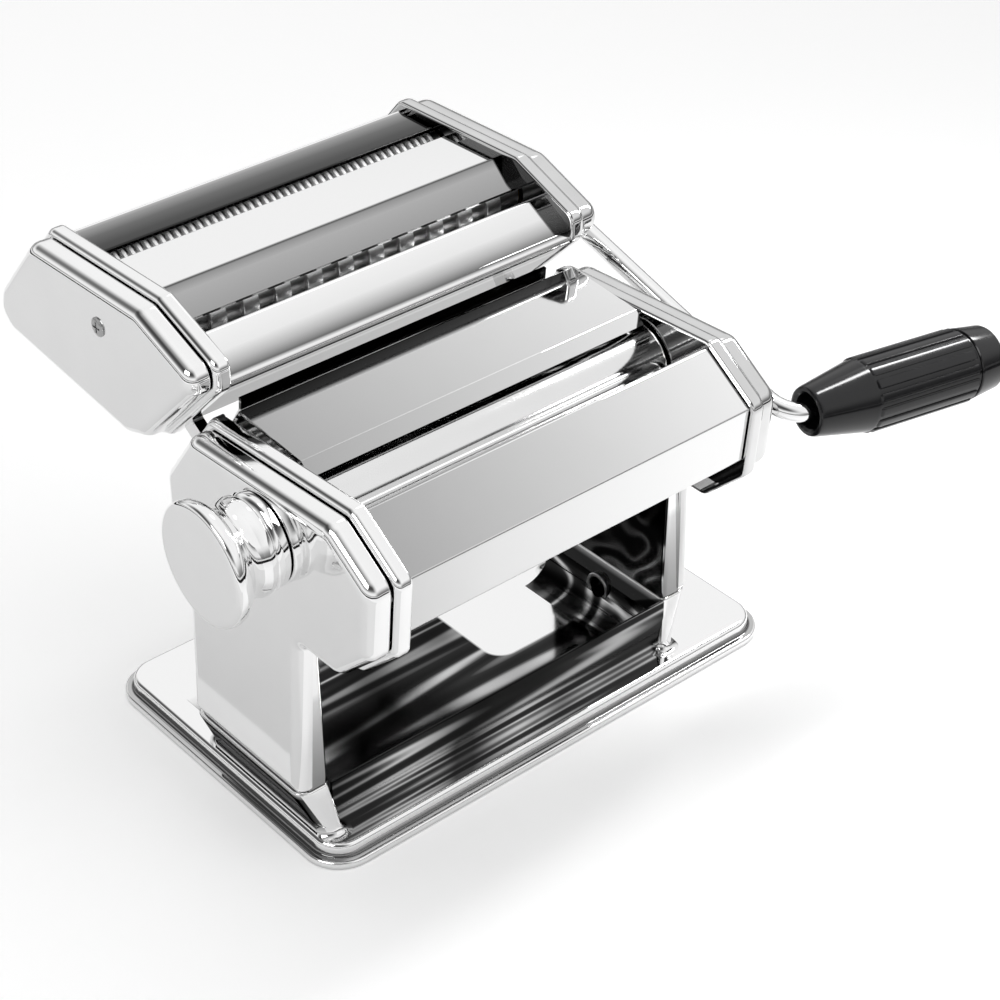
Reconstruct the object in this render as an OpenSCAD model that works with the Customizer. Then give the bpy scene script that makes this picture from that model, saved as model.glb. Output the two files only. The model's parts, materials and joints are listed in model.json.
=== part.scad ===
// Hand-cranked pasta roller with a lift-off cutter head.
// X runs along the rollers (crank side +X), the front is -Y, and z = 0 is the table.

/* [Base] */
// How much longer the base plate is than the body
base_over = 35; // [31:1:39]
// Depth of the base plate
base_dep = 132; // [126:1:140]
// Shift of the base plate towards the crank
base_shift = 17; // [14:1:19]
// Height of the plate's top face
base_h = 8; // [7:0.5:9]
// Corner radius of the plate
base_r = 14; // [8:1:20]
// Width of the low lip around the plate
lip_w = 3.5; // [2:0.5:4]
// Height of the low lip
lip_h = 3; // [2:0.5:4]
// Sheet thickness of the base
base_t = 1.2; // [1:0.1:1.5]
// Height at which the legs stand on the foot bosses
seam_z = 29; // [27:0.5:31]
// Radius of the trough between the feet
trough_r = 13; // [9:1:15]

/* [Body] */
// Thickness of the side frames
frame_t = 2.5; // [2:0.1:2.6]
// Width of the rim that each frame turns over the panels
flange_w = 6; // [4:0.5:6]
// Thickness of that rim
flange_t = 1.5; // [1.2:0.1:1.6]
// Distance from a side frame to the outer face of its cover
cover_dep = 8.5; // [8:0.5:9.5]
// Sheet thickness of the covers and panels
sheet = 1.2; // [1:0.1:1.3]
// How far each leg splays outwards at its foot
leg_splay = 3; // [2:0.5:4]
// Depth of the legs from front to rear
leg_dep = 60; // [56:0.5:61]
// Gap between a cover's edge and the frame's rim
cover_gap = 0.5; // [0.3:0.1:0.8]

/* [Rollers] */
// Radius of the sheet rollers
roller_r = 15.2; // [15:0.05:15.25]
// Length of the sheet rollers
roller_len = 147; // [140:0.5:160]
// Y of the front roller's axis
front_y = -70; // [-70.2:0.1:-69.8]
// Height of the roller axes above the table
roller_z = 124; // [118:0.5:130]
// Distance between the roller axes at the widest setting
roller_cc = 33; // [32.9:0.1:33.3]
// Travel of the rear roller from the widest to the finest setting
gap_travel = 2.2; // [1.6:0.1:2.3]
// Radius of the roller journals
journal_r = 6; // [5:0.5:6.5]
// Radius of the rear roller's hollow
hollow_r = 11.5; // [11:0.1:12]
// Outer radius of the rear roller's tubular journal
tube_r = 9; // [8.6:0.1:9.2]
// Number of teeth on the roller gears
roller_teeth = 14; // [14:1:14]
// Face width of the gears
gear_w = 3.5; // [3:0.1:3.5]
// Radial clearance of every shaft in its bush
run_gap = 0.05; // [0.02:0.01:0.08]

/* [Regulator] */
// Radius of the regulator shaft
reg_r = 5; // [4.5:0.1:5.2]
// Radius of the knob's face
knob_r = 21; // [19:0.5:23]
// Length of the knob
knob_len = 23; // [22.5:0.5:25]
// Travel of the knob when it is pulled against its spring
knob_pull = 5; // [4:0.5:5.5]

/* [Cutter head] */
// Outer radius of the cutter rollers
cut_r = 9.4; // [9.2:0.1:9.6]
// Radius of the cutter rollers between their rings
cut_core_r = 7.9; // [7.6:0.1:8]
// Radius of the cutter journals
cut_journal_r = 5.5; // [5:0.1:5.8]
// Distance between the axes of a cutter pair
cut_cc = 17.6; // [17.6:0.1:17.8]
// Distance from the body's rear face to the head's reference point
head_gap = 9; // [8.5:0.1:10]
// Rise of the head's reference point above the roller axes
head_rise = 30; // [29:0.5:32]
// Tilt of the wide cutter pair
wide_tilt = 40; // [36:1:41]
// Distance between the two cutter pairs, beyond two cutters' widths
pair_gap = 0.8; // [0.6:0.1:1.5]
// Height of the fine cutter axes above the head's reference point
fine_lift = 7; // [6:0.1:7.3]
// Width of a wide ribbon
wide_ribbon = 6.4; // [6:0.1:6.8]
// Width of a fine ribbon
fine_ribbon = 1.5; // [1.4:0.05:1.8]
// Axial clearance between the rings of a cutter pair
ring_gap = 0.12; // [0.1:0.01:0.2]
// Number of teeth on the cutter gears
cut_teeth = 16; // [16:1:16]

/* [Crank] */
// Radius of the crank's steel rod
rod_r = 3.5; // [3:0.1:3.6]
// Depth that the crank reaches into its socket
socket_depth = 18; // [14:1:20]
// Distance from the cover to the crank's first bend
hub_gap = 7; // [6:0.5:9]
// How far the crank arm leans outwards along its length
arm_lean = 6; // [5:0.5:10]
// Reach of the crank arm, square to its axle
arm_len = 110; // [100:1:112]
// Angle of the arm below the horizontal
arm_drop = 19.5; // [10:0.5:30]
// Angle by which the grip leans outwards from square
grip_lean = 9; // [0:1:10]
// Distance from the crank's bend to the far end of the grip
grip_len = 88; // [80:1:92]
// Greatest radius of the grip
grip_r = 13.5; // [13:0.5:14.5]

/* [Hidden] */
$fn = 64;
eps = 0.01;
hair = 0.3;                                   // gap between pieces that don't touch
frame_x = roller_len/2 + 0.5;                 // inner face of each side frame
frame_x1 = frame_x + frame_t;
cover_x = frame_x1 + cover_dep;               // outer face of the side covers
base_len = 2*cover_x + base_over;
leg_x = cover_x + leg_splay;                  // outer face of each leg at its foot
leg_in = frame_x + 1;                         // inner face of each leg and foot boss
leg_y0 = front_y + 17;
leg_y1 = leg_y0 + leg_dep;
hub_x = cover_x + hub_gap;
arm_x = hub_x + arm_lean;
rear_y = front_y + roller_cc;
reg_y = rear_y - gap_travel/2;                // the regulator axis lies midway in the travel
ecc = gap_travel/2;
gear_x = frame_x1 + 0.8;
cover_in = cover_x - sheet;
socket_r = rod_r + run_gap;
body_rear = rear_y + 55;
head_y = body_rear + head_gap;                // reference point of the cutter head
head_z = roller_z + head_rise;
fine_y = head_y + 2*cut_cc + pair_gap;        // middle of the fine cutter pair
fine_z = head_z + fine_lift;
wide_front = [head_y - 7.6, head_z - 4.4];     // each axis as (y, z)
wide_rear = wide_front + cut_cc*[cos(wide_tilt), sin(wide_tilt)];
fine_front = [fine_y - cut_cc/2, fine_z];
fine_rear = [fine_y + cut_cc/2, fine_z];
cut_half = frame_x - 1;
ecc_r = reg_r + ecc + 0.3;                    // the regulator's round cams
bush_x = roller_len/2 - 4;                    // outer end of the rear roller's inner bushes
bush_len = 10;

// Body outline in (y, z), seen along X, from the top of the front round to the rear
BODY = [[front_y - 2, roller_z + 24], [front_y - 24.5, roller_z + 9], [front_y - 22, roller_z - 19],
    [front_y - 4, roller_z - 36], [body_rear - 10, roller_z - 36], [body_rear, roller_z - 25],
    [body_rear, roller_z - 3], [body_rear - 17, roller_z + 20]];
// Cutter head outline in (y, z), from its upper rear edge round by the front
HEAD = [[fine_y + 25, head_z + 21.5], [head_y - 3, head_z + 23.5], [head_y - 33, head_z + 12.5],
    [head_y - 33, head_z + 3], [head_y - 2, head_z - 28.5], [head_y + 10, head_z - 32.5],
    [fine_y + 45, head_z - 25], [fine_y + 53, head_z - 17], [fine_y + 50, head_z - 7]];

function cross2(a, b) = a[0]*b[1] - a[1]*b[0];
function unit(v) = v/norm(v);
function area2(p) = let (n = len(p)) [for (i = [0:n-1]) cross2(p[i], p[(i+1)%n])] * [for (i = [0:n-1]) 1];
function side(p) = area2(p) > 0 ? 1 : -1;
function meet(a, u, b, v) = a + u*(cross2(b - a, v)/cross2(u, v));
// Moves every edge of a convex outline inwards by d
function inset(p, d) = let (n = len(p), s = side(p))
    [for (i = [0:n-1]) let (
        a = p[(i+n-1)%n], b = p[i], c = p[(i+1)%n],
        u = unit(b - a), v = unit(c - b))
        meet(a + s*d*[-u[1], u[0]], u, b + s*d*[-v[1], v[0]], v)];
// Rounds every corner of an outline with radius r
function rounded(p, r, steps = 5) = let (n = len(p), s = side(p))
    [for (i = [0:n-1]) let (
        b = p[i], u = unit(p[(i+n-1)%n] - b), v = unit(p[(i+1)%n] - b),
        half = acos(max(-1, min(1, u*v)))/2,
        turn = sign(cross2(-u, v)),
        c = b + unit(u + v)*r/sin(half),
        t0 = b + u*r/tan(half), t1 = b + v*r/tan(half),
        a0 = atan2(t0[1]-c[1], t0[0]-c[0]),
        a1 = atan2(t1[1]-c[1], t1[0]-c[0]),
        d0 = a1 - a0, d = d0 > 180 ? d0 - 360 : d0 < -180 ? d0 + 360 : d0)
        for (k = [0:steps]) c + r*[cos(a0 + d*k/steps), sin(a0 + d*k/steps)]];

past = 1;                                      // how far a cut runs out of what it cuts
// Extrudes a (y, z) outline from x0 to x1
module along_x(x0, x1) { translate([x0, 0, 0]) rotate([90, 0, 90]) linear_extrude(x1 - x0) children(); }
module plate_x(p, x0, x1) { along_x(x0, x1) polygon(p); }
module rod_x(y, z, r, x0, x1) { translate([x0, y, z]) rotate([0, 90, 0]) cylinder(h = x1 - x0, r = r); }
module bore_x(y, z, r, x0, x1) { rod_x(y, z, r, x0 - past, x1 + past); }
module tube_x(y, z, r, bore, x0, x1) {
    difference() {
        rod_x(y, z, r, x0, x1);
        bore_x(y, z, bore, x0, x1);
    }
}
module mirror_x(on) { mirror([on ? 1 : 0, 0, 0]) children(); }
// A bent sheet of even thickness that follows a path in (y, z) and lies to the left of it
function thick(p, t) = let (n = len(p)) concat(p,
    [for (j = [0:n-1]) let (i = n-1-j,
        u = unit(i == 0 ? p[1] - p[0] : p[i] - p[i-1]),
        v = unit(i == n-1 ? p[n-1] - p[n-2] : p[i+1] - p[i]),
        m = unit([-u[1]-v[1], u[0]+v[0]]))
        p[i] + m*t/(m*[-u[1], u[0]])]);
module bent_sheet(p, t, half) { plate_x(thick(p, t), -half, half); }

// ---- base ----
// One level of the plate, set in from its edge
module pan(inside, z0, z1) {
    x = base_len/2 - inside;
    y = base_dep/2 - inside;
    r = base_r - min(inside, base_r - 2);
    translate([base_shift, 0, z0]) linear_extrude(z1 - z0)
        polygon(rounded([[-x, -y], [x, -y], [x, y], [-x, y]], r, 8));
}
boss_in = leg_in - 3;
boss_out = base_len/2 - base_shift - lip_w - 3;
boss_run = 3;
boss_slice = 0.4;                              // height of the two slices that the boss spans
// A foot boss widens from the seam down to the plate; t is its wall when it is taken out as a hollow
module boss_shape(t) {
    hull() {
        translate([leg_in + t, leg_y0 + t, seam_z - boss_slice - t])
            cube([leg_x - leg_in - 2*t, leg_dep - 2*t, boss_slice]);
        translate([boss_in + t, leg_y0 - boss_run + t, base_h - eps - 2*t])
            cube([boss_out - boss_in - 2*t, leg_dep + 2*boss_run - 2*t, boss_slice]);
    }
}
clamp_y = leg_y0 + 32;
clamp_z = (base_h + seam_z - 1)/2;
clamp_r = 4;
clamp_wall = 1.5;
clamp_x = leg_in - 2.8;                        // mouth of the clamp's sleeve in the right foot
clamp_len = 7;
dimple_r = 9;
screw_ys = [leg_y0 + 11, leg_y1 - 11];
screw_x = leg_in + 7;
base_screw_r = 2;
base_screw_head_r = 4;
base_screw_head = 2.4;
module base_plate() {
    color("silver") difference() {
        union() {
            difference() {
                union() {
                    pan(0, 0, lip_h);
                    pan(lip_w, 0, base_h);
                }
                pan(lip_w + base_t, -1, base_h - base_t);
            }
            for (s = [0, 1]) mirror_x(s) {
                difference() {
                    boss_shape(0);
                    boss_shape(base_t);
                }
                // the trough's wall curves into the plate
                translate([0, leg_y1, 0]) rotate([90, 0, 0]) linear_extrude(leg_dep)
                    difference() {
                        translate([leg_in + eps - trough_r, base_h - eps]) square([trough_r, trough_r]);
                        translate([leg_in - trough_r, base_h + trough_r]) circle(trough_r);
                    }
            }
            // the low wall across the front of the trough
            translate([-leg_in - eps, leg_y0 + 1, base_h - eps])
                cube([2*leg_in + 2*eps, base_t, seam_z - base_h]);
            rod_x(clamp_y, clamp_z, clamp_r + clamp_wall, clamp_x, clamp_x + clamp_len + 0.8);
            // a pressed dimple carries the middle of the plate
            cylinder(h = base_h - eps, r = dimple_r);
        }
        rod_x(clamp_y, clamp_z, clamp_r, clamp_x - past, clamp_x + clamp_len);
        // screw holes under each foot boss
        for (s = [-1, 1], y = screw_ys)
            translate([s*screw_x, y, seam_z - 5]) cylinder(h = 10, r = base_screw_r + 0.2);
    }
}
module base_screws() {
    color("gainsboro") for (s = [-1, 1], y = screw_ys) translate([s*screw_x, y, 0]) {
        translate([0, 0, seam_z - base_t - base_screw_head])
            cylinder(h = base_screw_head, r = base_screw_head_r);
        translate([0, 0, seam_z - base_t - eps]) cylinder(h = 10, r = base_screw_r);
    }
}

// ---- side covers ----
// A dished cover: its outline shrinks towards the outer face
module dish(p, r, x0, x1, soft) {
    hull() {
        plate_x(rounded(p, r), x0, x1 - soft);
        plate_x(rounded(inset(p, soft*0.3), r), x0, x1 - soft*0.3);
        plate_x(rounded(inset(p, soft), r*0.8), x0, x1);
    }
}
COVER = inset(BODY, 2.2);
soft = 4.5;                                    // depth of the cover's rounding, outside and inside
soft_in = 3;
cover_r = 6;                                   // radius of the cover's corners
leg_top = roller_z - 31;
leg_nut = 5;                                   // thickness of the nut plate in a leg's foot
// A leg reaches from the foot boss up into the dish; t is its wall when it is taken out as a hollow
module leg_block(t, foot) {
    hull() {
        translate([cover_in0 + t, leg_y0 + t - leg_lean, leg_top + t])
            cube([cover_x - cover_in0 - 2*t, leg_dep - 2*t, 1]);
        translate([leg_in + t, leg_y0 + t, seam_z + foot])
            cube([leg_x - leg_in - 2*t, leg_dep - 2*t, 0.5]);
    }
}
leg_lean = 2.5;
cover_in0 = frame_x1 + cover_gap;
cover_ease = 1.5;                              // clearance of a shaft in its cover
// they hold each cover on its frame
studs = [[front_y + 14, roller_z - 20], [rear_y + 25, roller_z - 20]];
stud_r = 3;
module side_cover(right) {
    color("gainsboro") mirror_x(!right) difference() {
        union() {
            difference() {
                union() {
                    dish(COVER, cover_r, cover_in0, cover_x, soft);
                    leg_block(0, 0);
                }
                dish(inset(COVER, sheet), cover_r - 1, frame_x - 5, cover_in, soft_in);
                leg_block(sheet, leg_nut);
            }
            for (p = studs) rod_x(p[0], p[1], stud_r, frame_x1, cover_in + eps);
        }
        if (right) {
            bore_x(front_y, roller_z, journal_r + cover_ease, cover_in - 1, cover_x);
        } else {
            bore_x(reg_y, roller_z, reg_r + cover_ease, cover_in - 1, cover_x);
            for (k = [0:index_count - 1]) index_hole(k, cover_in - 1, cover_x);
        }
        for (y = screw_ys) translate([screw_x, y, seam_z - 2]) cylinder(h = 12, r = base_screw_r);
    }
}
index_count = 10;
index_ring_r = 11;
index_pin_r = 1.5;
module index_hole(k, x0, x1) {
    a = 180 + k*180/(index_count - 1);
    bore_x(reg_y + index_ring_r*cos(a), roller_z + index_ring_r*sin(a), index_pin_r + hair, x0, x1);
}
module left_side_cover() { side_cover(false); }
module right_side_cover() { side_cover(true); }

// ---- inner frames ----
rods = [[front_y - 5, roller_z - 21], [rear_y + 3, roller_z - 24], [body_rear - 14, roller_z - 28],
    [body_rear - 9, roller_z - 6]];
tie_r = 4;
bush_wall = 2;                                 // wall of the bushes in the side frames
reg_bush_wall = 3;
frame_screw_r = 2;
frame_screw_head_r = 3.8;
frame_screw_head = 2.2;
thread_len = 12;
frame_r = 4;                                   // radius of a side frame's corners
module frame_blank(p, r) {
    plate_x(rounded(p, r), frame_x, frame_x1);
    difference() {
        plate_x(rounded(p, r), frame_x1 - flange_w, frame_x1);
        plate_x(rounded(inset(p, flange_t), r - 1), frame_x1 - flange_w - 1, frame_x1 + 1);
    }
}
module inner_frame(right) {
    color("lightgray") mirror_x(!right) difference() {
        frame_blank(BODY, frame_r);
        bore_x(front_y, roller_z, journal_r + bush_wall, frame_x, frame_x1);
        if (right) {
            bore_x(reg_y, roller_z, tube_r + ecc + hair, frame_x, frame_x1);
        } else {
            bore_x(reg_y, roller_z, reg_r + reg_bush_wall, frame_x, frame_x1);
        }
        for (p = rods) bore_x(p[0], p[1], frame_screw_r + 0.2, frame_x, frame_x1);
    }
}
module left_inner_frame() { inner_frame(false); }
module right_inner_frame() { inner_frame(true); }
module tie_rods() {
    color("silver") for (p = rods) difference() {
        rod_x(p[0], p[1], tie_r, -frame_x, frame_x);
        rod_x(p[0], p[1], frame_screw_r, frame_x - thread_len, frame_x + past);
        rod_x(p[0], p[1], frame_screw_r, -frame_x - past, -frame_x + thread_len);
    }
}
module frame_screws() {
    color("silver") for (p = rods, s = [0, 1]) mirror_x(s) {
        rod_x(p[0], p[1], frame_screw_r, frame_x - thread_len + 2, frame_x1 + eps);
        rod_x(p[0], p[1], frame_screw_head_r, frame_x1, frame_x1 + frame_screw_head);
    }
}

// ---- panels ----
PANEL = inset(BODY, flange_t + 0.5);
panel_half = frame_x;
module front_cover() {
    color("whitesmoke") bent_sheet([[front_y + 1.5, roller_z + 18.6], PANEL[0], PANEL[1],
        PANEL[1] + (PANEL[2] - PANEL[1])*0.82, [front_y - 16, roller_z - 13.5]], sheet, panel_half);
}
module dough_guard() {
    color("whitesmoke") {
        bent_sheet([[rear_y + 35.5, roller_z + 16.5], [rear_y + 30, roller_z + 24.2],
            [rear_y - 2, roller_z + 21.8], [rear_y - 6, roller_z + 17.6]], sheet, frame_x1 - flange_w - 1);
        // its rear edge runs on below the rims to both frames
        bent_sheet([[rear_y + 35.5, roller_z + 16.5], [rear_y + 34.5, roller_z + 17.9]], sheet, frame_x);
    }
}
module rear_cover() {
    color("whitesmoke") difference() {
        bent_sheet([PANEL[7], PANEL[6], PANEL[5], PANEL[4] + (PANEL[5] - PANEL[4])*0.4], -sheet, panel_half);
        // notches for the hooks
        for (x = [-hook_x - hook_t - 1, hook_x - 1])
            translate([x, rods[3][0] - 14, rods[3][1] - 11]) cube([hook_t + 2, 30, 40]);
    }
}

// ---- rollers ----
module front_roller() {
    color("lightgray") difference() {
        union() {
            rod_x(front_y, roller_z, roller_r, -roller_len/2, roller_len/2);
            rod_x(front_y, roller_z, journal_r, -frame_x1 - 1, cover_x + 1);
        }
        rod_x(front_y, roller_z, socket_r, cover_x + 1 - socket_depth, cover_x + 2);
    }
}
module rear_roller() {
    color("lightgray") difference() {
        union() {
            rod_x(rear_y, roller_z, roller_r, -roller_len/2, roller_len/2);
            rod_x(rear_y, roller_z, tube_r, 0, gear_x + gear_w);
        }
        rod_x(rear_y, roller_z, hollow_r, -roller_len/2 - 1, bush_x + eps);
        rod_x(rear_y, roller_z, reg_r + ecc + hair, 0, gear_x + gear_w + 1);
    }
}
module front_roller_bushes() {
    color("goldenrod") for (s = [0, 1]) mirror_x(s)
        tube_x(front_y, roller_z, journal_r + bush_wall, journal_r + run_gap, frame_x, frame_x1);
}
// The rear roller turns on these; their tall slots follow the regulator's cams
module rear_roller_bushes() {
    slot_r = ecc_r + hair;
    rise = ecc + hair;
    color("goldenrod") for (x = [-bush_x, bush_x - bush_len]) difference() {
        rod_x(rear_y, roller_z, hollow_r - run_gap, x, x + bush_len);
        for (dz = [-rise, rise]) bore_x(rear_y, roller_z + dz, slot_r, x, x + bush_len);
        translate([x - past, rear_y - slot_r, roller_z - rise]) cube([bush_len + 2*past, 2*slot_r, 2*rise]);
    }
}
// A spur gear is [teeth, tip radius, root radius, tooth width at the root, and at the tip]
module gear_shape(gear, phase) {
    foot = gear[2] - 0.6;
    circle(gear[2]);
    for (k = [0:gear[0]-1]) rotate(phase + k*360/gear[0])
        polygon([[foot, -gear[3]/2], [gear[1], -gear[4]/2], [gear[1], gear[4]/2], [foot, gear[3]/2]]);
}
module gear_x_at(at, gear, bore, phase) {
    translate([gear_x, at[0], at[1]]) rotate([90, 0, 90]) linear_extrude(gear_w) difference() {
        gear_shape(gear, phase);
        circle(bore);
    }
}
// Tall straight teeth keep in mesh while the roller gap changes
ROLLER_GEAR = [roller_teeth, roller_cc/2 + 0.7, roller_cc/2 - gap_travel - 1.3, 3.2, 1.6];
module front_roller_gear() { color("dimgray") gear_x_at([front_y, roller_z], ROLLER_GEAR, journal_r, 0); }
module rear_roller_gear() {
    color("dimgray") gear_x_at([rear_y, roller_z], ROLLER_GEAR, tube_r, 180 + 180/roller_teeth);
}
blade_t = 0.8;
// Each blade lies on a tie rod, tangent to it, and clears its roller by a hair
module scraper(rod, tip, dir) {
    d = tip - rod;
    a = atan2(d[1], d[0]) - dir*acos(tie_r/norm(d));
    touch = rod + tie_r*[cos(a), sin(a)];
    blade = thick([tip, touch + 3*unit(touch - tip)], dir*blade_t);
    color("lightgray") plate_x(blade, -panel_half, panel_half);
}
module front_scraper() { scraper(rods[0], [front_y + 6.5, roller_z - 15.3], -1); }
module rear_scraper() { scraper(rods[1], [rear_y - 8, roller_z - 15.7], 1); }

// ---- regulator ----
knob_x = cover_x + hair;
knob_neck = 16;
knob_bevel = 1.2;
knob_wall = 2;
web_in = 4;                                    // inner wall of the knob, which slides on the shaft
web_t = 2.5;
web_x = knob_x + web_in;
spring_solid = 7.2;                            // length of the spring when it is pressed solid
shaft_end = web_x + web_t + spring_solid + knob_pull;
spring_r = 6.6;
spring_wire = 0.6;
module regulator_shaft() {
    color("silver") {
        rod_x(reg_y, roller_z, reg_r, -shaft_end, cover_in - hair);
        for (x = [-bush_x, bush_x - bush_len])
            rod_x(reg_y + ecc, roller_z, ecc_r, x, x + bush_len);
    }
}
module regulator_bushes() {
    color("goldenrod") for (x = [[-frame_x1, -frame_x], [gear_x + gear_w + 0.5, cover_in]])
        tube_x(reg_y, roller_z, reg_r + reg_bush_wall, reg_r + run_gap, x[0], x[1]);
}
module spring_washer() {
    color("silver") rod_x(reg_y, roller_z, spring_r + spring_wire + 0.6, -shaft_end - 1.2, -shaft_end);
}
module regulator_knob() {
    color("gainsboro") translate([-knob_x, reg_y, roller_z]) rotate([0, -90, 0]) difference() {
        rotate_extrude() polygon([[0, 0], [knob_neck, 0], [knob_neck, 3], [knob_neck - 1, 3.6],
            [knob_neck - 1, 4.8], [knob_neck + 0.4, 5.4], [knob_neck + 0.6, 8], [knob_neck - 0.4, 11],
            [knob_neck, 14], [knob_r - 1.4, 17.5], [knob_r, 20], [knob_r, knob_len - knob_bevel],
            [knob_r - knob_bevel, knob_len], [0, knob_len]]);
        translate([0, 0, -past]) cylinder(h = past + web_in, r = knob_neck - 3.5);
        translate([0, 0, -past]) cylinder(h = web_in + web_t + 2*past, r = reg_r + run_gap);
        translate([0, 0, web_in + web_t]) cylinder(h = knob_len - knob_wall - web_in - web_t, r = 9.5);
    }
}
module index_pin() {
    color("silver") rod_x(reg_y - index_ring_r, roller_z, index_pin_r, -web_x, -knob_x);
}
// One round of the wire's own section at each step along the helix
function ring_at(r, pitch, a, w, n = 6) = [for (k = [0:n-1]) let (q = k*360/n)
    [pitch*a/360 + w*sin(q), (r + w*cos(q))*cos(a), (r + w*cos(q))*sin(a)]];
module knob_spring() {
    turns = 5;
    per = 12;
    n = 6;
    x0 = web_x + web_t + spring_wire;
    pitch = (shaft_end - spring_wire - x0)/turns;
    rings = [for (i = [0:turns*per]) ring_at(spring_r, pitch, i*360/per, spring_wire)];
    color("silver") translate([-shaft_end + spring_wire, reg_y, roller_z]) polyhedron(
        points = [for (r = rings) each r],
        faces = concat([[for (k = [n-1:-1:0]) k]], [[for (k = [0:n-1]) turns*per*n + k]],
            [for (i = [0:turns*per-1], k = [0:n-1])
                [i*n + k, i*n + (k+1)%n, (i+1)*n + (k+1)%n, (i+1)*n + k]]));
}

// ---- cutter head ----
head_rods = [[head_y + 2, head_z - 23], [fine_y + 41, head_z - 14], [head_y + 16.6, head_z + 14.6]];
head_rod_r = 3;
head_screw_r = 1.5;
head_screw_head_r = 3;
head_screw_head = 2;
post_r = 3;
cover_screw_head_r = 3.4;
cover_screw_head = 0.9;
cross_w = 0.8;                                 // the cross recess of a cover screw
cut_bush_wall = 1.5;
CUTTER_AXES = [wide_front, wide_rear, fine_front, fine_rear];
cover_post = [head_y + 20, head_z + 6];
rear_post = [fine_y + 33, head_z - 7];
module head_frame(right) {
    color("lightgray") mirror_x(!right) difference() {
        frame_blank(HEAD, frame_r);
        for (p = CUTTER_AXES) bore_x(p[0], p[1], cut_journal_r + cut_bush_wall, frame_x, frame_x1);
        for (p = head_rods) bore_x(p[0], p[1], head_screw_r + hair, frame_x, frame_x1);
    }
}
module head_left_frame() { head_frame(false); }
module head_right_frame() { head_frame(true); }
module head_cover(right) {
    post = right ? rear_post : cover_post;
    color("gainsboro") mirror_x(!right) difference() {
        dish(inset(HEAD, 2), cover_r, cover_in0, cover_x, soft);
        dish(inset(HEAD, 2 + sheet), cover_r - 1, frame_x - 5, cover_in, soft_in);
        bore_x(post[0], post[1], head_screw_r + 0.5, cover_in - 1, cover_x);
        if (right) for (p = [wide_front, fine_front])
            bore_x(p[0], p[1], cut_journal_r + 0.8, cover_in - 1, cover_x);
    }
}
module head_left_cover() { head_cover(false); }
module head_right_cover() { head_cover(true); }
module cover_posts() {
    color("silver") for (s = [0, 1]) mirror_x(s) difference() {
        p = s == 0 ? rear_post : cover_post;
        rod_x(p[0], p[1], post_r, frame_x1, cover_in);
        rod_x(p[0], p[1], head_screw_r, frame_x1 + 1, cover_in + past);
    }
}
module cover_screws() {
    color("silver") for (s = [0, 1]) mirror_x(s) {
        p = s == 0 ? rear_post : cover_post;
        rod_x(p[0], p[1], head_screw_r, cover_in - 4, cover_x + eps);
        difference() {
            rod_x(p[0], p[1], cover_screw_head_r, cover_x, cover_x + cover_screw_head);
            for (a = [0, 90]) translate([cover_x + cover_screw_head, p[0], p[1]]) rotate([a, 0, 0])
                cube([1, cross_w, 1.2*cover_screw_head_r], center = true);
        }
    }
}
module head_tie_rods() {
    color("silver") for (p = head_rods) difference() {
        rod_x(p[0], p[1], head_rod_r, -frame_x, frame_x);
        rod_x(p[0], p[1], head_screw_r, frame_x - thread_len, frame_x + past);
        rod_x(p[0], p[1], head_screw_r, -frame_x - past, -frame_x + thread_len);
    }
}
module head_frame_screws() {
    color("silver") for (p = head_rods, s = [0, 1]) mirror_x(s) {
        rod_x(p[0], p[1], head_screw_r, frame_x - thread_len + 2, frame_x1 + eps);
        rod_x(p[0], p[1], head_screw_head_r, frame_x1, frame_x1 + head_screw_head);
    }
}
HPANEL = inset(HEAD, flange_t + 0.5);
module head_rear_panel() {
    color("whitesmoke") bent_sheet([[fine_y + 49.5, head_z - 16.2], [fine_y + 47, head_z - 8.4],
        [fine_y + 23.3, head_z + 18.4], [fine_y + 2.2, head_z + 18.8], [fine_y + 2, head_z + 17.4]],
        sheet, panel_half);
}
module head_middle_panel() {
    color("whitesmoke") bent_sheet([[fine_y - 2.8, head_z + 17.4], [fine_y - 3.4, head_z + 18.8],
        [head_y + 7, head_z + 19.6], [head_y - 7, head_z + 14.3]], sheet, panel_half);
}
module head_front_panel() {
    color("whitesmoke") bent_sheet([[head_y - 12, head_z + 9.5], [head_y - 12.4, head_z + 13.6],
        [head_y - 28.5, head_z + 6.2], HPANEL[3] + [1, -1], HPANEL[3] + (HPANEL[4] - HPANEL[3])*0.36],
        sheet, panel_half);
}
hook_x = frame_x - 9;
hook_t = 4;
// A hook on the head's lowest rod that drops over the body's rear tie rod
module head_hooks() {
    from = head_rods[0];
    to = rods[3];
    run = [from[0] - to[0], from[1] - to[1]];
    a = atan2(run[1], run[0]);
    color("gainsboro") for (x = [-hook_x - hook_t, hook_x]) along_x(x, x + hook_t) difference() {
        union() {
            translate(to) circle(tie_r + 3.5);
            translate(from) circle(head_rod_r + 2.5);
            translate(to) rotate(a) translate([tie_r + 1, -3.5]) square([norm(run) - tie_r - 1, 7]);
        }
        translate(to) circle(tie_r + hair);
        // the mouth is a little wider than the seat, on the side away from the lift
        translate(to) rotate(lift_angle + 180) translate([0, -tie_r - 2*hair])
            square([20, 2*tie_r + 4*hair]);
        translate(from) circle(head_rod_r);
    }
}
lift_angle = 45;

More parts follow.
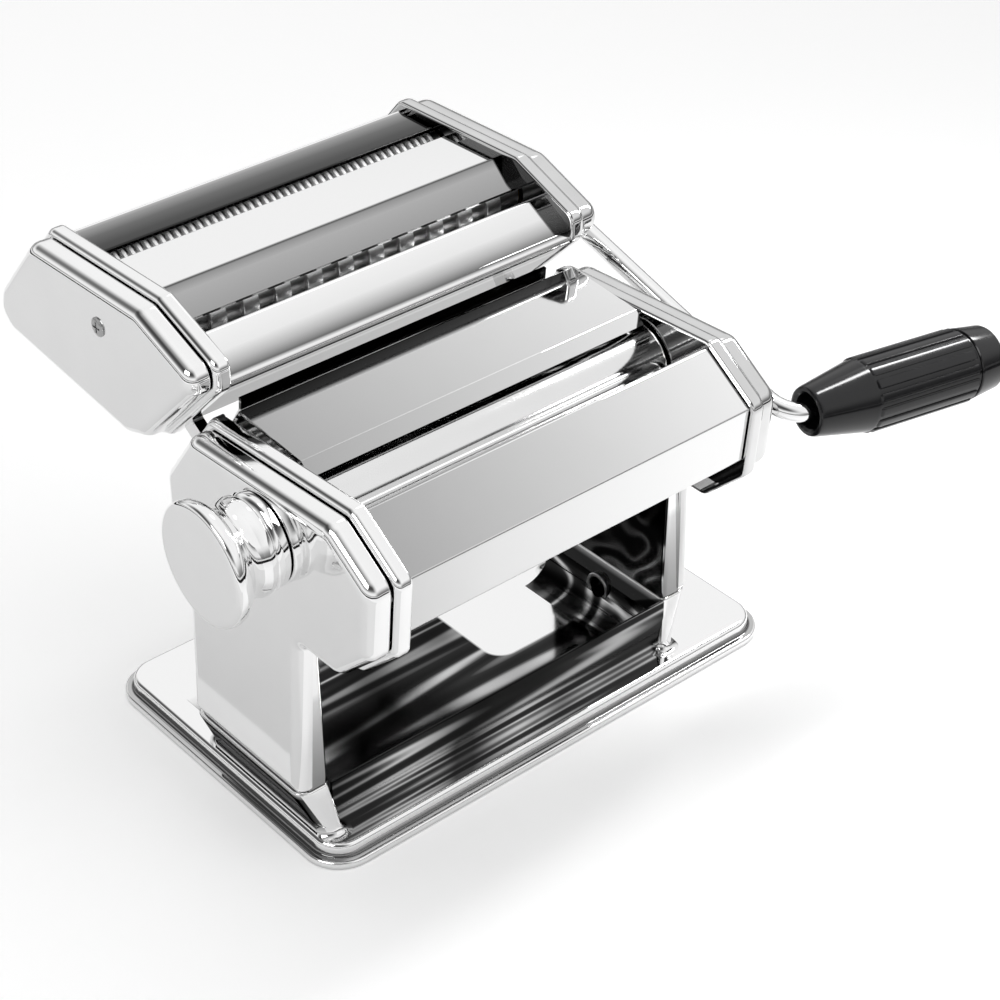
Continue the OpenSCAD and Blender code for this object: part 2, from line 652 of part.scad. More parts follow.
// ---- cutters ----
// Rings of one roller sit between the rings of its mate
module cutter(at, ribbon, shifted, driven) {
    pitch = 2*ribbon;
    n = floor((2*cut_half - 8)/pitch);
    x0 = -n*pitch/2 + (shifted ? ribbon : 0);
    ring = ribbon - 2*ring_gap;
    color("lightgray") difference() {
        union() {
            rod_x(at[0], at[1], cut_core_r, -cut_half, cut_half);
            for (k = [0:n-1]) let (x = x0 + k*pitch + ring_gap)
                rod_x(at[0], at[1], cut_r, x, x + ring);
            rod_x(at[0], at[1], cut_journal_r, -frame_x1 + 0.5, driven ? cover_x + 0.5 : gear_x + gear_w);
        }
        if (driven) rod_x(at[0], at[1], socket_r, cover_x + 0.5 - socket_depth, cover_x + 2);
    }
}
module wide_cutter_front() { cutter(wide_front, wide_ribbon, false, true); }
module wide_cutter_rear() { cutter(wide_rear, wide_ribbon, true, false); }
module fine_cutter_front() { cutter(fine_front, fine_ribbon, false, true); }
module fine_cutter_rear() { cutter(fine_rear, fine_ribbon, true, false); }
CUTTER_GEAR = [cut_teeth, cut_cc/2 + 0.5, cut_cc/2 - 1.3, 1.9, 0.9];
module cutter_gear(at, tilt, rear) {
    phase = tilt + (rear ? 180 + 180/cut_teeth : 0);
    color("dimgray") gear_x_at(at, CUTTER_GEAR, cut_journal_r, phase);
}
module wide_gear_front() { cutter_gear(wide_front, wide_tilt, false); }
module wide_gear_rear() { cutter_gear(wide_rear, wide_tilt, true); }
module fine_gear_front() { cutter_gear(fine_front, 0, false); }
module fine_gear_rear() { cutter_gear(fine_rear, 0, true); }
module cutter_bushes() {
    color("goldenrod") for (p = CUTTER_AXES, s = [0, 1]) mirror_x(s)
        tube_x(p[0], p[1], cut_journal_r + cut_bush_wall, cut_journal_r + run_gap, frame_x, frame_x1);
}
// Fingers of a comb lie in the grooves of one roller and strip the ribbons
module comb(at, away, ribbon, shifted) {
    pitch = 2*ribbon;
    n = floor((2*cut_half - 8)/pitch);
    x0 = -n*pitch/2 + (shifted ? 0 : ribbon);
    color("silver") translate([0, at[0], at[1]]) rotate([away, 0, 0]) {
        translate([-frame_x, -2, -cut_r - 3.2]) cube([2*frame_x, 1, 2.3]);
        for (k = [0:n-1]) translate([x0 + k*pitch + 0.3*ribbon, -2, -cut_r - 1])
            cube([0.4*ribbon, 1, cut_r - cut_core_r + 0.5]);
    }
}
module wide_comb_front() { comb(wide_front, 0, wide_ribbon, false); }
module wide_comb_rear() { comb(wide_rear, 50, wide_ribbon, true); }
module fine_comb_front() { comb(fine_front, -25, fine_ribbon, false); }
module fine_comb_rear() { comb(fine_rear, 25, fine_ribbon, true); }

// ---- crank ----
hub = [hub_x, wide_front[0], wide_front[1]];
elbow = [arm_x, wide_front[0] - arm_len*cos(arm_drop), wide_front[1] - arm_len*sin(arm_drop)];
grip_dir = [cos(grip_lean), -sin(grip_lean)*cos(arm_drop), -sin(grip_lean)*sin(arm_drop)];
module aim(v) { rotate([0, acos(v[2]/norm(v)), atan2(v[1], v[0])]) children(); }
bend_ease = 0.1;                               // the rod swells slightly where it is bent
grip_gap = 8.2;                                // from the bend's centre to the grip's mouth
mouth_r = 9;
mouth_bore = 6;
cap_len = 12;
cap_taper = 1.4;
head_w = 2;                                    // the rod's riveted head keeps the grip on
head_t = 1.5;
module crank_rod() {
    color("silver") {
        rod_x(hub[1], hub[2], rod_r, cover_x + 1.5 - socket_depth, hub_x);
        translate(hub) sphere(rod_r + bend_ease);
        translate(hub) aim(elbow - hub) cylinder(h = norm(elbow - hub), r = rod_r);
        translate(elbow) sphere(rod_r + bend_ease);
        translate(elbow) aim(grip_dir) {
            cylinder(h = grip_len - cap_len + hair + eps, r = rod_r);
            translate([0, 0, grip_len - cap_len + hair]) cylinder(h = head_t, r = rod_r + head_w);
        }
    }
}
module crank_grip() {
    ribs = grip_gap + 0.28*(grip_len - grip_gap);  // where the taper ends and the ribs start
    top = grip_len - cap_len;
    color("black") translate(elbow) aim(grip_dir) difference() {
        rotate_extrude() polygon([[0, grip_gap], [mouth_r - 1, grip_gap], [mouth_r, grip_gap + 1.5],
            [grip_r - 0.8, ribs], [grip_r, ribs + 1], [grip_r, top - 1.5], [grip_r - 1.2, top - 1],
            [grip_r - 1.2, top], [0, top]]);
        translate([0, 0, -past]) cylinder(h = grip_len, r = rod_r + run_gap);
        translate([0, 0, -past]) cylinder(h = past + grip_gap + 7, r = mouth_bore);
    }
}
module grip_cap() {
    color("black") translate(elbow) aim(grip_dir) difference() {
        rotate_extrude() polygon([[0, grip_len - cap_len], [grip_r - 0.6, grip_len - cap_len],
            [grip_r - 0.6 - cap_taper, grip_len - 0.8], [grip_r - 1.4 - cap_taper, grip_len],
            [0, grip_len]]);
        translate([0, 0, grip_len - cap_len - past])
            cylinder(h = past + head_t + 2*hair, r = rod_r + head_w + hair);
    }
}

base_plate();
base_screws();
left_side_cover();
right_side_cover();
left_inner_frame();
right_inner_frame();
tie_rods();
frame_screws();
front_cover();
dough_guard();
rear_cover();
front_roller();
rear_roller();
front_roller_bushes();
rear_roller_bushes();
front_roller_gear();
rear_roller_gear();
front_scraper();
rear_scraper();
regulator_shaft();
regulator_bushes();
spring_washer();
regulator_knob();
index_pin();
knob_spring();
head_left_frame();
head_right_frame();
head_left_cover();
head_right_cover();
cover_posts();
cover_screws();
head_tie_rods();
head_frame_screws();
head_rear_panel();
head_middle_panel();
head_front_panel();
head_hooks();
wide_cutter_front();
wide_cutter_rear();
fine_cutter_front();
fine_cutter_rear();
wide_gear_front();
wide_gear_rear();
fine_gear_front();
fine_gear_rear();
cutter_bushes();
wide_comb_front();
wide_comb_rear();
fine_comb_front();
fine_comb_rear();
crank_rod();
crank_grip();
grip_cap();
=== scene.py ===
# Hand-cranked pasta roller with a lift-off cutter head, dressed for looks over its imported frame.
# X runs along the rollers towards the crank, -Y is the front, and z = 0 is the table. The studio and the
# spans of the finishes are in metres. The pieces are drawn in millimetres and scaled by mm.
import json
import math

import bmesh
import bpy
from mathutils import Matrix, Vector


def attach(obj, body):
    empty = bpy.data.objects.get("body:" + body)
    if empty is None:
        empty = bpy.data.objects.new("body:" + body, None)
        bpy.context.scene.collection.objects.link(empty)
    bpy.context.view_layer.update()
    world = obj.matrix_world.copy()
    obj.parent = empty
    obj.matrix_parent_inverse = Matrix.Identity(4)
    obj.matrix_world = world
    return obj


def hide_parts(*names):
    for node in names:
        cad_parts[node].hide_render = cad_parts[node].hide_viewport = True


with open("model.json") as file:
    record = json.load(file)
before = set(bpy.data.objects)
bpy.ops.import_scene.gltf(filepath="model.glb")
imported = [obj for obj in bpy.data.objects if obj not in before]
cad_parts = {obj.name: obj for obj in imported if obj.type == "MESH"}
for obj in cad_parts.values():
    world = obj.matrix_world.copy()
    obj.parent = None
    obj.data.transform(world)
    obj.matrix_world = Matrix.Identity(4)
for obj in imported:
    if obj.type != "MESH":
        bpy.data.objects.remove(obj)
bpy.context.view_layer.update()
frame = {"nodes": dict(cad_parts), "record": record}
nodes = frame["nodes"]
mm = 0.001

# ---- studio ----
# The camera looks down on the knob's corner. A white tent and a pale floor surround the machine. A low black
# band and a grey card on the knob's side give the plating its darker lines, and a small lamp lights the grip.
LENS, SENSOR, FAR_CLIP = 86.742, 36, 20
CAMERA_AT, CAMERA_TILT, CAMERA_HEADING = (-0.4168, -0.5372, 0.5557), 54.93, -40.57


def put(name, data):
    """A new object in the scene."""
    thing = bpy.data.objects.new(name, data)
    bpy.context.scene.collection.objects.link(thing)
    return thing


camera_data = bpy.data.cameras.new("camera")
camera_data.lens = LENS
camera_data.sensor_width = SENSOR
camera_data.clip_end = FAR_CLIP
camera = put("camera", camera_data)
camera.location = CAMERA_AT
camera.rotation_euler = (math.radians(CAMERA_TILT), 0, math.radians(CAMERA_HEADING))
bpy.context.scene.camera = camera
bpy.context.scene.view_settings.view_transform = "Standard"


class Sock:
    """A shader socket that takes part in arithmetic; every operation adds its Math node."""

    def __init__(self, tree, out):
        self.tree = tree
        self.out = out

    def node(self, kind, settings=None, inputs=None):
        """Adds a node: first its settings, then the values or links of its sockets."""
        made = self.tree.nodes.new(kind)
        for key, value in (settings or {}).items():
            if key == "stops":
                ramp = made.color_ramp
                while len(ramp.elements) < len(value):
                    ramp.elements.new(0.5)
                for element, (at, shade) in zip(ramp.elements, value):
                    element.position = at
                    element.color = (shade, shade, shade, 1)
            else:
                setattr(made, key, value)
        for key, value in (inputs or {}).items():
            if isinstance(value, Sock):
                self.tree.links.new(value.out, made.inputs[key])
            else:
                made.inputs[key].default_value = value
        return made

    def get(self, kind, settings=None, inputs=None, out=0):
        """One output of a new node."""
        return Sock(self.tree, self.node(kind, settings, inputs).outputs[out])

    def maths(self, operation, *values, clamp=False):
        settings = {"operation": operation, "use_clamp": clamp}
        return self.get("ShaderNodeMath", settings, dict(enumerate(values)))

    def at_least(self, floor):
        return self.maths("MAXIMUM", self, floor)

    def along(self, axis):
        """One coordinate of a place."""
        return self.get("ShaderNodeSeparateXYZ", None, {0: self}, "XYZ".index(axis))

    def noise(self, scale, detail=2.0, warp=0.0):
        """Noise over a place."""
        values = {"Vector": self, "Scale": scale, "Detail": detail, "Distortion": warp}
        return self.get("ShaderNodeTexNoise", None, values)

    def stretched(self, scale, lean=(0, 0, 0)):
        return self.get("ShaderNodeMapping", None, {"Vector": self, "Scale": scale, "Rotation": lean})

    def ranged(self, low, high, to_low=0.0, to_high=1.0, ease="LINEAR"):
        """Carries low..high over to to_low..to_high and holds the value at both ends."""
        values = {0: self, 1: low, 2: high, 3: to_low, 4: to_high}
        return self.get("ShaderNodeMapRange", {"interpolation_type": ease}, values)

    def ramp(self, stops):
        return self.get("ShaderNodeValToRGB", {"stops": stops}, {0: self})

    def between(self, first, second):
        """A colour between two others, with this socket as the share of the second."""
        return self.get("ShaderNodeMix", {"data_type": "RGBA"}, {0: self, 6: first, 7: second}, 2)

    def feed(self, socket):
        self.tree.links.new(self.out, socket)

    def __add__(self, other):
        return self.maths("ADD", self, other)

    __radd__ = __add__

    def __mul__(self, other):
        return self.maths("MULTIPLY", self, other)

    __rmul__ = __mul__

    def __sub__(self, other):
        return self.maths("SUBTRACT", self, other)

    def __rsub__(self, other):
        return self.maths("SUBTRACT", other, self)


def new_material(name):
    """A material, its shader and its Object coordinates."""
    material = bpy.data.materials.new(name)
    material.use_nodes = True
    tree = material.node_tree
    place = tree.nodes.new("ShaderNodeTexCoord")
    return material, tree.nodes["Principled BSDF"], Sock(tree, place.outputs["Object"])


def coat(shader, colour, rough, metallic=0):
    """Gives a shader its colour, roughness and metal share, each a plain value or a socket."""
    for key, value in (("Base Color", colour), ("Roughness", rough), ("Metallic", metallic)):
        if isinstance(value, Sock):
            value.feed(shader.inputs[key])
        else:
            shader.inputs[key].default_value = value


def ray_kinds(sock):
    """Three sockets, each 1 for one kind of ray: straight from the camera, off a mirror and through glass."""
    path = sock.tree.nodes.new("ShaderNodeLightPath")
    names = ("Is Camera Ray", "Is Glossy Ray", "Is Transmission Ray")
    return [Sock(sock.tree, path.outputs[name]) for name in names]


# The floor is lifted a little towards white where it is seen, and less where the plating mirrors it
SEEN_LIFT, MIRRORED_LIFT, OFF_WHITE = 0.22, 0.1, (0.93, 0.93, 0.93, 1)
paper, paper_shader, paper_at = new_material("floor_paper")
coat(paper_shader, OFF_WHITE, 0.9)
seen, mirrored, through = ray_kinds(paper_at)
paper_lift = (seen + through) * SEEN_LIFT + mirrored * MIRRORED_LIFT
paper_glow = paper_at.get("ShaderNodeEmission", None, {"Strength": paper_lift})
paper_matt = Sock(paper_at.tree, paper_shader.outputs[0])
paper_sum = paper_at.get("ShaderNodeAddShader", None, {0: paper_matt, 1: paper_glow})
paper_sum.feed(paper.node_tree.nodes["Material Output"].inputs["Surface"])

velvet, velvet_shader, _ = new_material("black_velvet")
coat(velvet_shader, (0.004, 0.004, 0.004, 1), 1.0)
grey_card, card_shader, card_at = new_material("grey_card")
coat(card_shader, card_at.noise(3.0) * 0.06 + 0.82, 0.95)


def rectangle(x0, x1, y0, y1):
    return [(x0, y0), (x1, y0), (x1, y1), (x0, y1)]


def flat(x0, x1, y0, y1, z):
    return [(x, y, z) for x, y in rectangle(x0, x1, y0, y1)], [(0, 1, 2, 3)]


def stage_piece(name, shape, material, hidden=True):
    """Something round the machine. A hidden one shows only in what mirrors it."""
    mesh = bpy.data.meshes.new(name)
    mesh.from_pydata(shape[0], [], shape[1])
    mesh.materials.append(material)
    thing = put(name, mesh)
    if hidden:
        thing.visible_camera = False
        thing.visible_diffuse = False
        thing.visible_shadow = False


stage_piece("floor", flat(-4, 4, -4, 4, 0), paper, hidden=False)
stage_piece("left_card", flat(-0.55, -0.12, -0.3, 0.55, 0.0006), grey_card)
BAND_RADIUS, BAND_FOOT, BAND_TOP, BAND_STEPS = 0.75, 0.001, 0.07, 48
band_angles = [2 * math.pi * k / BAND_STEPS for k in range(BAND_STEPS)]
band_points = [(BAND_RADIUS * math.cos(a), BAND_RADIUS * math.sin(a), z)
               for z in (BAND_FOOT, BAND_TOP) for a in band_angles]
band_faces = [(k, (k + 1) % BAND_STEPS, BAND_STEPS + (k + 1) % BAND_STEPS, BAND_STEPS + k)
              for k in range(BAND_STEPS)]
stage_piece("low_band", (band_points, band_faces), velvet)

# The tent's shade by height, from 0 at the horizon to 1 overhead, on its open side and on its shaded side
TENT_STOPS = [(0.0, 0.15), (0.15, 0.35), (0.28, 0.75), (0.42, 0.97), (0.8, 0.95), (1.0, 1.0)]
SHADE_STOPS = [(0.0, 0.3), (0.08, 0.95), (0.24, 0.9), (0.42, 0.22), (0.58, 0.06), (0.72, 0.07), (0.88, 0.4),
               (1.0, 0.9)]
SPARK_TOWARDS, SPARK_EDGE, SPARK_CORE, SPARK_STRENGTH = (0.53, 0.334, 0.777), 0.12, 0.05, 1.5
world = bpy.data.worlds.new("tent")
bpy.context.scene.world = world
world.use_nodes = True
sky = Sock(world.node_tree, world.node_tree.nodes.new("ShaderNodeTexCoord").outputs["Generated"])
height = sky.along("Z")
leftness = (sky.along("X") - 0.15) * -1.8
tent = leftness.ranged(0, 1, ease="SMOOTHSTEP").between(height.ramp(TENT_STOPS), height.ramp(SHADE_STOPS))
spark = sky.get("ShaderNodeVectorMath", {"operation": "DISTANCE"}, {0: sky, 1: SPARK_TOWARDS}, "Value")
spark_glow = spark.ranged(SPARK_EDGE, SPARK_CORE, 0.0, SPARK_STRENGTH, ease="SMOOTHSTEP")
adding = {"data_type": "RGBA", "blend_type": "ADD"}
sparked = sky.get("ShaderNodeMix", adding, {0: 1.0, 6: tent, 7: spark_glow}, 2)
backdrop_ray = ray_kinds(sky)[0]
backdrop_ray.between(sparked, (1, 1, 1, 1)).feed(world.node_tree.nodes["Background"].inputs["Color"])


def area_lamp(name, size, power, place, turn):
    lamp = bpy.data.lights.new(name, "AREA")
    lamp.shape = "RECTANGLE"
    lamp.size, lamp.size_y = size
    lamp.energy = power
    stand = put(name, lamp)
    stand.location = place
    stand.rotation_euler = turn


softbox_at = Vector((-1.2, -0.2, 1.1))
softbox_turn = (Vector((0, 0, 0.1)) - softbox_at).to_track_quat("-Z", "Y").to_euler()
area_lamp("left_softbox", (0.9, 0.6), 7, softbox_at, softbox_turn)
area_lamp("strip_lamp", (0.22, 0.03), 0.55, (0.27, -0.07, 0.3), (math.radians(-9), math.radians(28), 0))

# ---- plating ----
# Every pressed part is chromed steel sheet, polished bright, with faint marks of the polishing mop. The
# rollers are ground, the gears oiled and the bushes bronze. Many sheets carry painted reflection and shade:
# what faces the trough is painted dark with pale streaks, and the plate, bosses, channels and panels have
# painted bands.
CLOUD_SCALE, CLOUD_DETAIL = 55.0, 3.0
SOFT_EDGE, STRAIGHT_EDGE = 0.05, 0.004
MOP_MARKS, MOP_DEPTH, GRAIN_DEPTH, MARK_HEIGHT = (900.0, 900.0, 900.0), 0.012, 0.05, 0.0002


def plated(name, stops, rough=0.04, swirl=0.02, span=None, grain=None):
    """Polished metal in (position, shade) stops, clouded, or painted light and shade set along a span of
    (axis, first, last).

    Shades along X run into each other. Those along Y or Z follow the folds and have straight edges. The grain
    is the scale of the machining marks along X, Y and Z.
    """
    material, shader, at = new_material(name)
    cloud = at.noise(CLOUD_SCALE, CLOUD_DETAIL)
    mask = cloud
    if span:
        axis, first, last = span
        wobble = (cloud - 0.5) * (SOFT_EDGE if axis == "X" else STRAIGHT_EDGE)
        mask = at.maths("ADD", (at.along(axis) - first) * (1 / (last - first)), wobble, clamp=True)
    coat(shader, mask.ramp(stops), cloud * swirl + rough, 1)
    marks = at.stretched(grain or MOP_MARKS).noise(1.0)
    bump = {"Strength": GRAIN_DEPTH if grain else MOP_DEPTH, "Distance": MARK_HEIGHT, "Height": marks}
    at.get("ShaderNodeBump", None, bump).feed(shader.inputs["Normal"])
    return material


bright = plated("bright_sheet", [(0, 0.89), (1, 0.94)])
# Painted shade: the same chrome painted darker, for the right side.
painted_shade_sheet = plated("dull_sheet", [(0, 0.62), (1, 0.74)])
turned = plated("turned_steel", [(0, 0.76), (1, 0.82)], 0.07, 0.05, grain=(900, 60, 60))
oiled_steel_and_groove_shade = plated("oiled_gear_steel", [(0, 0.3), (1, 0.42)], 0.3, 0.1)
satin = plated("satin_steel", [(0, 0.42), (1, 0.52)], 0.25, 0.1)

BRONZE_DARK, BRONZE_PALE = (0.42, 0.28, 0.12, 1), (0.62, 0.44, 0.19, 1)
bronze, bronze_shader, bronze_at = new_material("sintered_bronze")
grains = bronze_at.noise(1500.0, 3.0)
coat(bronze_shader, grains.between(BRONZE_DARK, BRONZE_PALE), grains * 0.2 + 0.3, 1)

# Painted reflection and shade: dark mirror tones with pale streaks, laid on what faces the trough.
PAINTED_REFLECTION_STOPS = [(0, 0.012), (0.5, 0.025), (0.75, 0.14), (1, 0.5)]
FADE_SCALE, FADE_GAIN, FADE_DROP, FADE_LEAST = 32.0, 2.8, 0.7, 0.1


def paint_dark_reflection(name, scale, lean, lines, painted_light=None):
    """Painted reflection and shade: a dark mirror sheet with pale, drawn-out streaks. Painted light marks the
    places where it is painted pale all over.
    """
    material, shader, at = new_material(name)
    ground = at.stretched(scale, lean).noise(1.0, 1.0, 0.5)
    swing = ground * lines
    wave = swing.maths("SINE", swing) * 0.5 + 0.5
    fade = (at.noise(FADE_SCALE, 1.0) * FADE_GAIN - FADE_DROP).at_least(FADE_LEAST)
    tone = wave.ramp(PAINTED_REFLECTION_STOPS) * fade
    if painted_light:
        tone = painted_light(at).between(tone, OFF_WHITE)
    coat(shader, tone, ground * 0.06 + 0.06, 1)
    return material


dark_painted_reflection = paint_dark_reflection("streaked_sheet", (9.0, 30.0, 30.0), (0.5, 0.3, 0.2), 42.0)
long_painted_reflection = paint_dark_reflection("long_streaked_sheet", (2.2, 42.0, 95.0), (0.1, 0.03, 0.04), 36.0)

SLOT_FINISH = {"chromed_sheet": bright, "roller_steel": turned, "frame_steel": bright, "plain_steel": satin,
               "gear_steel": oiled_steel_and_groove_shade, "fastener_steel": satin, "bush_brass": bronze}
NODE_FINISH = {"head_hooks": bright}
for part in frame["record"]["subparts"]:
    solid = nodes[part["node"]]
    solid.data.materials.clear()
    solid.data.materials.append(NODE_FINISH.get(part["node"], SLOT_FINISH.get(part["material_slot"], satin)))

# ---- foot plate ----
# One deep-drawn pressing: a flat lip on the table, a rounded step up to the plate, and two hollow bosses that
# the legs stand on. A low wall closes the trough between them at the front, and one foot has a clamp sleeve.


def neighbours(points, i):
    """A corner of a closed outline, between the corners before and after it."""
    return [Vector(points[(i + k) % len(points)]) for k in (-1, 0, 1)]


def outline_inset(points, depth):
    """Moves every edge of a flat outline inwards by depth."""
    count = len(points)
    area = sum(points[i][0] * points[(i + 1) % count][1] - points[(i + 1) % count][0] * points[i][1]
               for i in range(count))
    turn = 1 if area > 0 else -1
    moved = []
    for i in range(count):
        before, here, after = neighbours(points, i)
        u = (here - before).normalized()
        v = (after - here).normalized()
        a = here + turn * depth * Vector((-u.y, u.x))
        b = here + turn * depth * Vector((-v.y, v.x))
        cross = u.x * v.y - u.y * v.x
        along = ((b - a).x * v.y - (b - a).y * v.x) / cross if abs(cross) > 1e-6 else 0
        moved.append(tuple(a + u * along))
    return moved


def corner_arc(before, here, after, radius, steps):
    """Points of the arc that rounds the corner at here."""
    u = (before - here).normalized()
    v = (after - here).normalized()
    half = math.acos(max(-1, min(1, u.dot(v)))) / 2
    centre = here + (u + v).normalized() * radius / math.sin(half)
    start = here + u * radius / math.tan(half) - centre
    stop = here + v * radius / math.tan(half) - centre
    first = math.atan2(start.y, start.x)
    sweep = (math.atan2(stop.y, stop.x) - first + math.pi) % (2 * math.pi) - math.pi
    return [(centre.x + radius * math.cos(first + sweep * k / steps),
             centre.y + radius * math.sin(first + sweep * k / steps)) for k in range(steps + 1)]


def outline_round(points, radii, steps=7):
    """Rounds the corners of a flat outline, each with its own radius or all with one."""
    if not isinstance(radii, list):
        radii = [radii] * len(points)
    return [p for i, radius in enumerate(radii) for p in corner_arc(*neighbours(points, i), radius, steps)]


def loft(rings, cap_first=True, cap_last=True):
    """Skins a row of rings that have as many points each."""
    points = [p for ring in rings for p in ring]
    size = len(rings[0])
    faces = []
    for k in range(len(rings) - 1):
        for i in range(size):
            j = (i + 1) % size
            faces.append((k * size + i, k * size + j, (k + 1) * size + j, (k + 1) * size + i))
    if cap_first:
        faces.append(tuple(range(size))[::-1])
    if cap_last:
        faces.append(tuple((len(rings) - 1) * size + i for i in range(size)))
    return points, faces


def join(shapes):
    """Several shapes as one."""
    points, faces = [], []
    for some_points, some_faces in shapes:
        base = len(points)
        points += some_points
        faces += [tuple(base + i for i in face) for face in some_faces]
    return points, faces


def block(low, high):
    """A box between two corners."""
    ring = rectangle(low[1], high[1], low[2], high[2])
    return loft([[(x, y, z) for y, z in ring] for x in (low[0], high[0])])


def lathe(profile, axis=(0, 0), count=96, closed=False):
    """Spins (x, r) pairs round a line along X through axis = (y, z). A closed profile leaves a hole there."""
    angles = [2 * math.pi * k / count for k in range(count)]
    rings = [[(x, axis[0] + r * math.cos(a), axis[1] + r * math.sin(a)) for a in angles] for x, r in profile]
    if closed:
        return loft(rings + rings[:1], False, False)
    return loft(rings)


def raw_mesh(name, shape):
    """A mesh in metres, with its seams merged and its faces turned outwards."""
    points, faces = shape
    mesh = bpy.data.meshes.new(name)
    mesh.from_pydata([tuple(c * mm for c in p) for p in points], [], faces)
    work = bmesh.new()
    work.from_mesh(mesh)
    bmesh.ops.remove_doubles(work, verts=work.verts, dist=1e-6)
    bmesh.ops.recalc_face_normals(work, faces=work.faces)
    work.to_mesh(mesh)
    work.free()
    return mesh


def loose(mesh):
    """An object for a mesh that is still being worked on."""
    return put(mesh.name, mesh)


def settled(thing):
    """The mesh that an object's modifiers leave; the object itself goes."""
    graph = bpy.context.evaluated_depsgraph_get()
    mesh = bpy.data.meshes.new_from_object(thing.evaluated_get(graph))
    bpy.data.objects.remove(thing)
    return mesh


def carved(shape, cutters):
    """The mesh of a shape with other shapes cut out of it."""
    blank = loose(raw_mesh("blank", shape))
    tool = loose(raw_mesh("tool", join(cutters)))
    cut = blank.modifiers.new("cut", "BOOLEAN")
    cut.operation = "DIFFERENCE"
    cut.solver = "EXACT"
    cut.use_self = True
    cut.object = tool
    result = settled(blank)
    bpy.data.objects.remove(tool)
    return result


def dress(name, made, material, body, stands_for=(), crease=40):
    """Gives a mesh or a shape its finish, with folds sharper than crease degrees, and sets it on its body."""
    mesh = raw_mesh(name, made) if isinstance(made, tuple) else made
    mesh.materials.clear()
    mesh.materials.append(material)
    mesh.polygons.foreach_set("use_smooth", [True] * len(mesh.polygons))
    mesh.set_sharp_from_angle(angle=math.radians(crease))
    piece = put(name, mesh)
    even = piece.modifiers.new("even_normals", "WEIGHTED_NORMAL")
    even.keep_sharp = True
    even.weight = 100
    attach(piece, body)
    if stands_for:
        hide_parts(*stands_for)
    return piece


FACING = 0.75


def paint_light_by_facing(piece, axis, material):
    """Gives the faces that look along one axis a material of their own, to paint their light or shade."""
    piece.data.materials.append(material)
    for face in piece.data.polygons:
        if abs(face.normal[axis]) > FACING:
            face.material_index = 1


PLATE = rectangle(-85.5, 119.5, -66, 66)
PLATE_RADIUS, LEAST_RADIUS, PLATE_TOP, PLATE_INSET = 14, 3.0, 8.0, 12
LIP = [(1.2, 0.0), (0.5, 0.0), (0.12, 0.2), (0.0, 0.6), (0.0, 2.0), (0.15, 2.5), (0.5, 2.88), (1.0, 3.0)]
STEP = [(2.1, 3.0), (2.6, 3.1), (3.0, 3.45), (3.2, 4.0), (3.3, 6.0)]
UNDERSIDE = [(1.2, 0.0), (1.6, 1.8), (4.6, 2.2), (4.8, 6.8), (PLATE_INSET, 6.8)]


def plate_ring(inset, z):
    corners = outline_round(outline_inset(PLATE, inset), max(LEAST_RADIUS, PLATE_RADIUS - inset), 10)
    return [(x, y, z) for x, y in corners]


def quarter(inset, z, radius, steps=6):
    """(inset, height) pairs over a rounded upper edge."""
    angles = [math.pi / 2 * k / steps for k in range(1, steps + 1)]
    return [(inset + radius * (1 - math.cos(a)), z + radius * math.sin(a)) for a in angles]


upper_side = LIP + STEP + quarter(*STEP[-1], PLATE_TOP - STEP[-1][1]) + [(PLATE_INSET, PLATE_TOP)]
plate_skins = [loft([plate_ring(*level) for level in side], False, True) for side in (upper_side, UNDERSIDE)]
# Painted reflection and shade: dark and pale bands up the plate's lip and step.
PLATE_PAINTED_STOPS = [(0, 0.5), (0.2, 0.9), (0.36, 0.93), (0.39, 0.12), (0.46, 0.25), (0.6, 0.7), (0.8, 0.92),
               (1, 0.93)]
plate_sheet = plated("plate_sheet", PLATE_PAINTED_STOPS, span=("Z", 0.0, 0.008))
dress("foot_plate", join(plate_skins), plate_sheet, "body", ("base_plate",), crease=50)

# (height, flare) pairs up a boss: it runs out into the plate below and rounds over into its top
BOSS_LEVELS = [(8.0, 3.2), (8.25, 2.0), (8.9, 1.0), (10.0, 0.3), (12.0, 0.0), (20.0, 0.0), (28.2, 0.0),
               (28.75, -0.25), (29.0, -0.8)]
BOSS_SIDES, BOSS_LEAN, BOSS_HEIGHT = (72, 79, -56, 10), (3, 9, 3, -3), 21
BOSS_IN_RADIUS, BOSS_OUT_RADIUS, OUT_FLARE = 2.2, 5.5, 2.0


def boss_ring(side, z, flare):
    """A rounded rectangle of a foot boss, which leans outwards as it rises."""
    rise = (z - PLATE_TOP) / BOSS_HEIGHT
    x_in, x_out, y0, y1 = (at + lean * rise for at, lean in zip(BOSS_SIDES, BOSS_LEAN))
    x_in, x_out, y0, y1 = x_in - flare, x_out + min(flare, OUT_FLARE), y0 - flare, y1 + flare
    radius = BOSS_IN_RADIUS + max(0, flare)
    radii = [radius, BOSS_OUT_RADIUS, BOSS_OUT_RADIUS, radius]
    ring = outline_round(rectangle(x_in, x_out, y0, y1), radii, 8)
    return [(side * x, y, z) for x, y in ring]


CLAMP_AXIS, CLAMP_R, CLAMP_MOUTH, CLAMP_END = (-21, 18), 4.0, 72.2, 79.2
SLEEVE_R, SLEEVE_END_X = 5.5, 79.9
clamp_bore = lathe([(CLAMP_MOUTH - 3, CLAMP_R), (CLAMP_END, CLAMP_R)], CLAMP_AXIS, 40)
clamp_sleeve = [(CLAMP_MOUTH, 4.3), (CLAMP_MOUTH, 5.2), (CLAMP_MOUTH + 0.3, SLEEVE_R),
                (SLEEVE_END_X, SLEEVE_R), (SLEEVE_END_X, 1.0), (CLAMP_END, 1.0), (CLAMP_END, CLAMP_R),
                (CLAMP_MOUTH + 0.3, CLAMP_R)]
